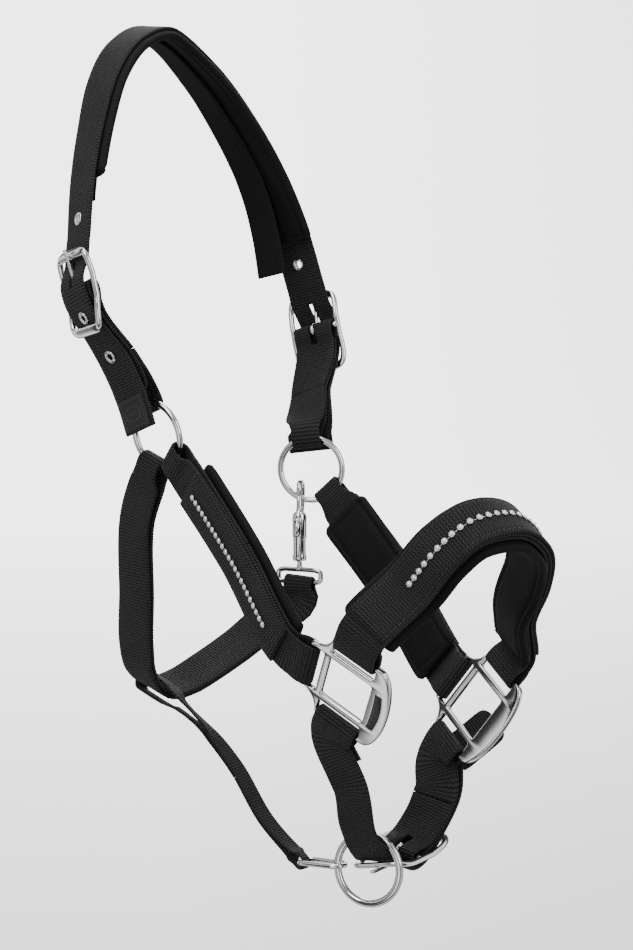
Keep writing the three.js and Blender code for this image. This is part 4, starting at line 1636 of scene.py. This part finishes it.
@dataclass
class ChinSet:
    """The chin strap, its billet, buckle and eyelets, the lead ring and the oval link."""

    squares: dict[Side, SideSquare]
    eyelets: tuple[float, ...] = (-15.5, -43)
    ring_centre: Vector = field(default_factory=lambda: vec(-17, -62, -237))
    ring_normal: Vector = field(default_factory=lambda: vec(-0.962, -0.267, 0.05).normalized())
    ring_radius: float = 21.4
    ring_wire: float = 2.4
    link_half: float = 9.5  # half the link's straight part
    link_round: float = 6.4  # radius of the link's ends
    link_wire: float = 1.6
    link_way: Vector = field(default_factory=lambda: vec(-0.2, 0.97, -0.03).normalized())
    free_end: tuple[tuple[float, ...], ...] = (
        (-104, 25, 18), (-102.5, 24.5, 26), (-99, 23, 30), (-88, 19, 30), (-73, 13, 30),
        (-60, 9, 30), (-49, 6.4, 30), (-37, 5, 30), (-28, 4.6, 30), (-21, 4.8, 30),
        (-10.5, 5.9, 30), (-6, 6.8, 30), (0, 7.1, 30), (5, 6.8, 30), (9, 5.1, 30),
        (13, 3.1, 30), (17, 1.4, 30), (22.5, 0.6, 29), (26, 0.5, 27), (30, 0.3, 25), (50, 0, 25),
    )

    def spine(self) -> Spine:
        """The strap's line, from the left square to the right one.

        Returns:
            The spine.
        """
        right, left = self.squares[Side.RIGHT], self.squares[Side.LEFT]
        stations = [
            (right.at(0, BAR_REACH), right.out),
            (right.at(0, BAR_REACH + 14, 0.5), right.out),
            (vec(-39, -69, -184), vec(-1, -0.1, -0.1)),
            (vec(-29, -65, -211), vec(-0.85, -0.2, -0.5)),
            (vec(-12, -62, -230), vec(-0.45, -0.25, -0.85)),
            (vec(12, -62, -230), vec(0.1, 0.2, -1)),
            (vec(30, -63, -216), vec(0.55, 0.2, -0.85)),
            (vec(40, -66, -195), vec(0.95, 0.2, -0.3)),
            (left.at(0, BAR_REACH + 14, 0.5), left.out),
            (left.at(0, BAR_REACH), left.out),
        ]
        return Spine(list(reversed(stations)))

    def build(self, shop: Workshop) -> None:
        """Make the chin's pieces.

        Args:
            shop: makes and places the pieces.
        """
        spine = self.spine()
        centre_bar, total = spine.marks[4], spine.length
        Buckle("chin_buckle", "chin_tongue", spine, centre_bar).build(shop)
        ply = (PLY + AIR) / 2
        arc = Fold(total, LOOP_RADIUS, WEB, 6).path(1)[2:-2]
        top = [
            (total - 13, ply, WEB),
            (total - 6, LOOP_RADIUS, WEB),
            *reversed(arc),
            (total - 6, -LOOP_RADIUS, WEB),
            (total - 13, -ply - 0.3, WEB),
            (total - 32, -ply - 1, WEB),
        ]
        free = [(centre_bar + h, n, width) for h, n, width in self.free_end]
        path = rounded([*free, *top], passes=1)
        cuts = [block(spine, (centre_bar + 2.5, centre_bar + 20), (-4, 14), 2.4)]
        for i, h in enumerate(self.eyelets):
            eyelet = Eyelet(f"chin_eyelet_{i + 1}", facet(spine, path, centre_bar + h))
            eyelet.build(shop)
            cuts.append(eyelet.cutter())
        shop.woven("chin_strap", strap(spine, path), cuts=cuts)
        bar = ROD + 2 * AIR + PLY / 2
        route = doubled(Fold(0, LOOP_RADIUS, WEB, 13), Fold(centre_bar, bar, WEB - 3, 11), centre_bar * 0.5)
        slot = block(spine, (centre_bar - 11, centre_bar + 5), (-6, 6), 2.6)
        shop.woven("chin_billet", strap(spine, rounded(route)), cuts=[slot])
        ring = hoop(self.ring_centre, self.ring_normal, self.ring_radius, self.ring_wire)
        shop.metal("chin_ring", ring)
        shop.metal("oval_link", self.link())

    def link_end(self) -> tuple[Vector, Vector]:
        """The link's middle and the far end of its wire.

        Returns:
            The link's middle, then its far end.
        """
        back = self.ring_normal.cross(vec(0, 0, 1)).normalized()
        half = self.link_half + self.link_round
        reach = half - self.link_wire - self.ring_wire - AIR
        middle = self.ring_centre + back * self.ring_radius + self.link_way * reach
        return middle, middle + self.link_way * half

    def link(self) -> Draft:
        """The oval link between the lead ring and the connector.

        Returns:
            The link's draft.
        """
        middle, _ = self.link_end()
        across = self.link_way.cross(vec(0, 0, 1)).normalized()
        line = []
        for end in (1, -1):
            for k in range(25):
                turn = math.radians(-90 + 7.5 * k)
                along = self.link_half + self.link_round * math.cos(turn)
                aside = self.link_round * math.sin(turn)
                line.append(middle + self.link_way * (end * along) + across * (end * aside))
        return Draft().tube(line, self.link_wire, across.cross(self.link_way), closed=True)


@dataclass
class Throat:
    """The throat strap and the narrow connector that loops round it."""

    rings: dict[Side, CheekRing]
    chin: ChinSet
    drop: float = 56.0  # left ring's wire to the snap eye's lower bar
    snap_axis: float = 3.6  # forward of the ring's wire

    @property
    def seat(self) -> Vector:
        """Where the snap hangs on the left ring's wire."""
        return self.rings[Side.LEFT].centre + vec(-4.1, 5.9, -19.4)

    def build(self, shop: Workshop) -> None:
        """Make both straps.

        Args:
            shop: makes and places the pieces.
        """
        right = self.rings[Side.RIGHT]
        top = vec(-68, 92.5, -30)
        eye_bar = self.seat + vec(-0.821, -0.571, 0) * self.snap_axis + vec(0, 0, -self.drop)
        spine = Spine([
            (right.leaving(top, FOLD_REACH), right.normal),
            (top, vec(-1, 0, 0.05)),
            (vec(-65, 97, -80), vec(-1, 0, 0)),
            (vec(-62, 101, -110), vec(-1, 0, -0.1)),
            (vec(-57, 102, -129), vec(-0.85, 0.1, -0.5)),
            (vec(-45, 100, -141), vec(-0.35, 0.25, -0.9)),
            (vec(-27, 98, -139.5), vec(0, 0.3, -1)),
            (vec(-6, 95, -131), vec(0.25, 0.3, -0.95)),
            (vec(22, 91, -117), vec(0.35, 0.3, -0.9)),
            (vec(46, 86, -101), vec(0.6, 0.3, -0.8)),
            (eye_bar + vec(-1.5, 0.5, -12), vec(0.95, 0.3, -0.1)),
            (eye_bar, vec(0.94, 0.35, 0)),
        ])
        end = spine.length
        eye = 1.7 + 3 * AIR + PLY / 2
        route = doubled(Fold(0, FOLD_RADIUS, FOLD_WIDTH, 16), Fold(end, eye, 20, 10), end * 0.55)
        shop.woven("throat_strap", strap(spine, rounded(route)))
        self.build_connector(shop, spine)

    def build_connector(self, shop: Workshop, throat: Spine) -> None:
        """Make the connector, from the oval link back round the throat strap.

        Args:
            shop: makes and places the pieces.
            throat: the throat strap's spine.
        """
        bottom = throat.marks[5]
        inward = -throat.frame(bottom)[2]
        _, link_end = self.chin.link_end()
        spine = Spine([
            (link_end, vec(0, -0.2, 1)),
            (vec(-31, 14, -216), vec(-0.2, -0.75, 0.6)),
            (vec(-33, 38, -187), vec(-0.2, -0.7, 0.7)),
            (vec(-36, 60, -167), vec(0, -0.3, 1)),
            (throat.at(bottom, 0, -27) + vec(0, 0, -1), inward),
            (throat.at(bottom, 0, -15), inward),
            (throat.at(bottom, 0, 13.6), inward),
        ])
        end = spine.length
        start = Fold(-1.4, 3.8, 6.4, 12)
        route = doubled(start, Fold(end, 6.2, 10, 48, straight=33), end * 0.4)
        narrow = [(s, n, min(width, 10.0)) for s, n, width in rounded(route)]
        shop.woven("connector_strap", strap(spine, narrow, thickness=1.6))


@dataclass
class SnapHook:
    """The throat snap: swivel eye, hook body, sliding bolt with its thumb knob, and the spring."""

    throat: Throat
    bolt_y: float = 5.2

    def __post_init__(self) -> None:
        """Work out the snap's own axes: Y out through the knob, Z up."""
        left = self.throat.rings[Side.LEFT]
        x = left.normal.cross(self.throat.seat - left.centre)
        x = vec(x.x, x.y, 0).normalized()
        self.basis = basis(x, vec(0, 0, 1).cross(x), vec(0, 0, 1), self.throat.seat)
        self.axis = self.basis @ Matrix.Translation((0, self.throat.snap_axis, 0))
        self.bolt = self.basis @ Matrix.Translation((0, self.bolt_y, 0))

    def build(self, shop: Workshop) -> None:
        """Make the snap's four pieces.

        Args:
            shop: makes and places the pieces.
        """
        corners = ((-1.5, 0.5), (1.5, 0.5), (1.5, 9), (-1.5, 9))
        slot = Draft().loft([[self.bolt @ vec(x, y, z) for x, y in corners] for z in (-24.8, -13.8)])
        bore = Draft().lathe([(AXIS, -36), (2.1, -36), (2.1, -7), (AXIS, -7)], self.bolt)
        shop.metal("snap_body", self.body(), cuts=[slot, bore])
        knob = self.bolt @ Matrix.Translation((0, 0, -15.3)) @ Matrix.Rotation(-math.pi / 2, 4, "X")
        pin = [(AXIS, -22), (1.5, -22), (1.8, -21.6), (1.8, 1.5), (1.2, 2.2), (AXIS, 2.2)]
        stalk = [(AXIS, 0.0), (1.1, 0.0), (1.1, 4.1)]
        button = [*stalk, (2.3, 4.2), (2.7, 4.8), (2.6, 5.5), (1.9, 5.9), (AXIS, 6.0)]
        bolt = Draft().lathe(pin, self.bolt, 24).lathe(button, knob, 24)
        shop.metal("snap_bolt", bolt)
        coil = []
        for k in range(161):
            turn, rise = k * math.pi / 16, 12.6 * k / 160
            coil.append(self.bolt @ vec(1.35 * math.cos(turn), 1.35 * math.sin(turn), -35.3 + rise))
        spring = shop.metal("snap_spring", Draft().tube(coil, 0.3, vec(0, 0, 1), sides=8))
        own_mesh(spring)
        shop.metal("snap_eye", self.eye())

    def body(self) -> Draft:
        """The barrel and the hook over the ring's wire.

        Returns:
            The body's draft.
        """
        foot = [(AXIS, -41.5), (3.9, -41.5), (4.6, -40.8), (4.8, -39.5), (4.5, -38.2), (4.2, -37)]
        case = [(4.2, -27), (4.7, -25.5), (4.8, -12.5), (4.3, -10.5), (3.2, -9.2), (AXIS, -9)]
        route = [(1, -13), (-2.4, -9), (-4.6, -4), (-5.2, 0)]
        arc = [math.radians(180 - 11.25 * k) for k in range(17)]
        route += [(5.2 * math.cos(t), 5 + 5.2 * math.sin(t)) for t in arc] + [(self.bolt_y, 2.9)]
        smooth = rounded([(y, z, 0.0) for y, z in route], passes=1, step=1.0)
        line = [self.basis @ vec(0, y, z) for y, z, _ in smooth]

        def radii(i: int) -> tuple[float, float]:
            """A hook that is a little stouter over the top."""
            full = 1.85 + 0.35 * math.sin(math.pi * i / len(line))
            return full, full * 0.95

        return Draft().lathe([*foot, *case], self.axis).tube(line, radii, self.basis.to_3x3() @ vec(1, 0, 0))

    def eye(self) -> Draft:
        """The broad swivel eye and its stem.

        Returns:
            The eye's draft.
        """
        across = vec(-0.35, 0.94, 0).normalized()
        middle = self.axis.translation + vec(0, 0, -self.throat.drop + 4.3)
        line = []
        for k in range(64):
            turn = 2 * math.pi * (k + 0.5) / 64
            x, z = (math.copysign(abs(f(turn)) ** 0.45, f(turn)) for f in (math.cos, math.sin))
            line.append(middle + across * (15.5 * x) + vec(0, 0, 4.3 * z))
        top = -self.throat.drop + 8.6
        stem = [(AXIS, top - 1), (2.6, top - 0.5), (2.2, top + 1.5), (1.75, -44), (1.75, -39.6)]
        stem += [(2.9, -39.6), (2.9, -37.7), (AXIS, -37.6)]
        return Draft().tube(line, 1.7, vec(0, 0, 1).cross(across), closed=True).lathe(stem, self.axis, 20)


# ---------- studio ----------


@dataclass(frozen=True)
class Lamp:
    """A soft rectangular light."""

    name: str
    place: tuple[float, float, float]
    size: tuple[float, float]
    watts: float

    def build(self, target: Vector) -> None:
        """Hang the light, turned to the target.

        Args:
            target: the place to face.
        """
        light = bpy.data.lights.new(self.name, "AREA")
        light.shape = "RECTANGLE"
        light.size, light.size_y = self.size
        light.energy = self.watts
        holder = bpy.data.objects.new(self.name, light)
        holder.location = self.place
        holder.rotation_euler = (target - holder.location).to_track_quat("-Z", "Y").to_euler()
        bpy.context.scene.collection.objects.link(holder)


@dataclass(frozen=True)
class Studio:
    """Pale floor, soft light and the camera."""

    lens: float = 100.0
    distance: float = 1.65
    azimuth: float = -45.0
    elevation: float = 5.0
    floor_drop: float = 0.07
    dark: tuple[float, ...] = (0.05, 0.05, 0.052, 1.0)
    bright: tuple[float, ...] = (1.5, 1.5, 1.5, 1.0)

    def build(self, shop: Workshop) -> None:
        """Set up the studio.

        Args:
            shop: makes and places the pieces.
        """
        target = DRAWING_ZERO * MM
        self.camera(target)
        self.floor(shop)
        self.sky()
        lamps = (
            Lamp("key", (-1.9, -0.5, 1.5), (1.2, 1.6), 34.0),
            Lamp("fill", (0.3, -2.3, 0.6), (1.4, 1.6), 20.0),
            Lamp("rim", (1.5, 1.2, 1.2), (0.8, 1.6), 24.0),
            Lamp("top", (-0.2, 0.0, 1.9), (1.6, 1.6), 18.0),
        )
        for lamp in lamps:
            lamp.build(target)

    def camera(self, target: Vector) -> None:
        """Stand the camera at its angle, looking at the target.

        Args:
            target: the place to face.
        """
        azimuth, elevation = math.radians(self.azimuth), math.radians(self.elevation)
        level = math.cos(elevation)
        back = vec(math.sin(azimuth) * level, -math.cos(azimuth) * level, math.sin(elevation))
        camera = bpy.data.cameras.new("camera")
        camera.lens = self.lens
        camera.sensor_width = 36.0
        holder = bpy.data.objects.new("camera", camera)
        holder.location = target + back * self.distance
        holder.rotation_euler = back.to_track_quat("Z", "Y").to_euler()
        bpy.context.scene.collection.objects.link(holder)
        bpy.context.scene.camera = holder

    def floor(self, shop: Workshop) -> None:
        """Hang pale paper under the headcollar and up behind it; it is seen, but casts no light.

        Args:
            shop: makes and places the pieces.
        """
        low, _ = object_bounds()
        z = low[2] - self.floor_drop
        flat = [(-3.0, 0.0), (0.0, 0.0), (2.6, 0.0)]
        profile = [*flat, (3.4, 0.04), (4.1, 0.2), (4.7, 0.5), (5.1, 1.0), (5.3, 1.8), (5.4, 5.0)]
        half, azimuth = 6.0, math.radians(self.azimuth)
        away = vec(-math.sin(azimuth), math.cos(azimuth), 0)
        right = vec(math.cos(azimuth), math.sin(azimuth), 0)
        points = [away * d + right * side + vec(0, 0, z + h) for d, h in profile for side in (-half, half)]
        faces = [(2 * k, 2 * k + 1, 2 * k + 3, 2 * k + 2) for k in range(len(profile) - 1)]
        mesh = bpy.data.meshes.new("paper")
        mesh.from_pydata(points, [], faces)
        mesh.materials.append(shop.finishes.floor)
        mesh.shade_smooth()
        sheet = bpy.data.objects.new("paper", mesh)
        bpy.context.scene.collection.objects.link(sheet)
        sheet.visible_diffuse = False
        sheet.visible_glossy = False
        sheet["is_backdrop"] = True

    def sky(self) -> None:
        """Surround the studio with soft grey strips for the plating to mirror."""
        sky = Sky()
        x, y, z = sky.split(sky.node("ShaderNodeTexCoord").outputs["Generated"])
        strips = abs((x * 4.1 + y * 2.3 + z * 0.8).sine()) ** 4.0
        sky.feed(sky.surface.inputs["Color"], sky.blend(strips, self.dark, self.bright))
        sky.feed(sky.surface.inputs["Strength"], 1.0)


def main() -> None:
    """Build the headcollar and its studio."""
    logging.basicConfig(level=logging.INFO, format="%(message)s")
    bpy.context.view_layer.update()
    shop = Workshop(Finishes())
    Studio().build(shop)
    rings = {side: CheekRing(side) for side in Side}
    squares = {side: SideSquare(side) for side in Side}
    Crown(rings).build(shop)
    for side in Side:
        rings[side].build(shop)
        squares[side].build(shop)
        Cheek(rings[side], squares[side]).build(shop)
    Noseband(squares).build(shop)
    chin = ChinSet(squares)
    chin.build(shop)
    throat = Throat(rings, chin)
    throat.build(shop)
    SnapHook(throat).build(shop)


if __name__ == "__main__":
    main()
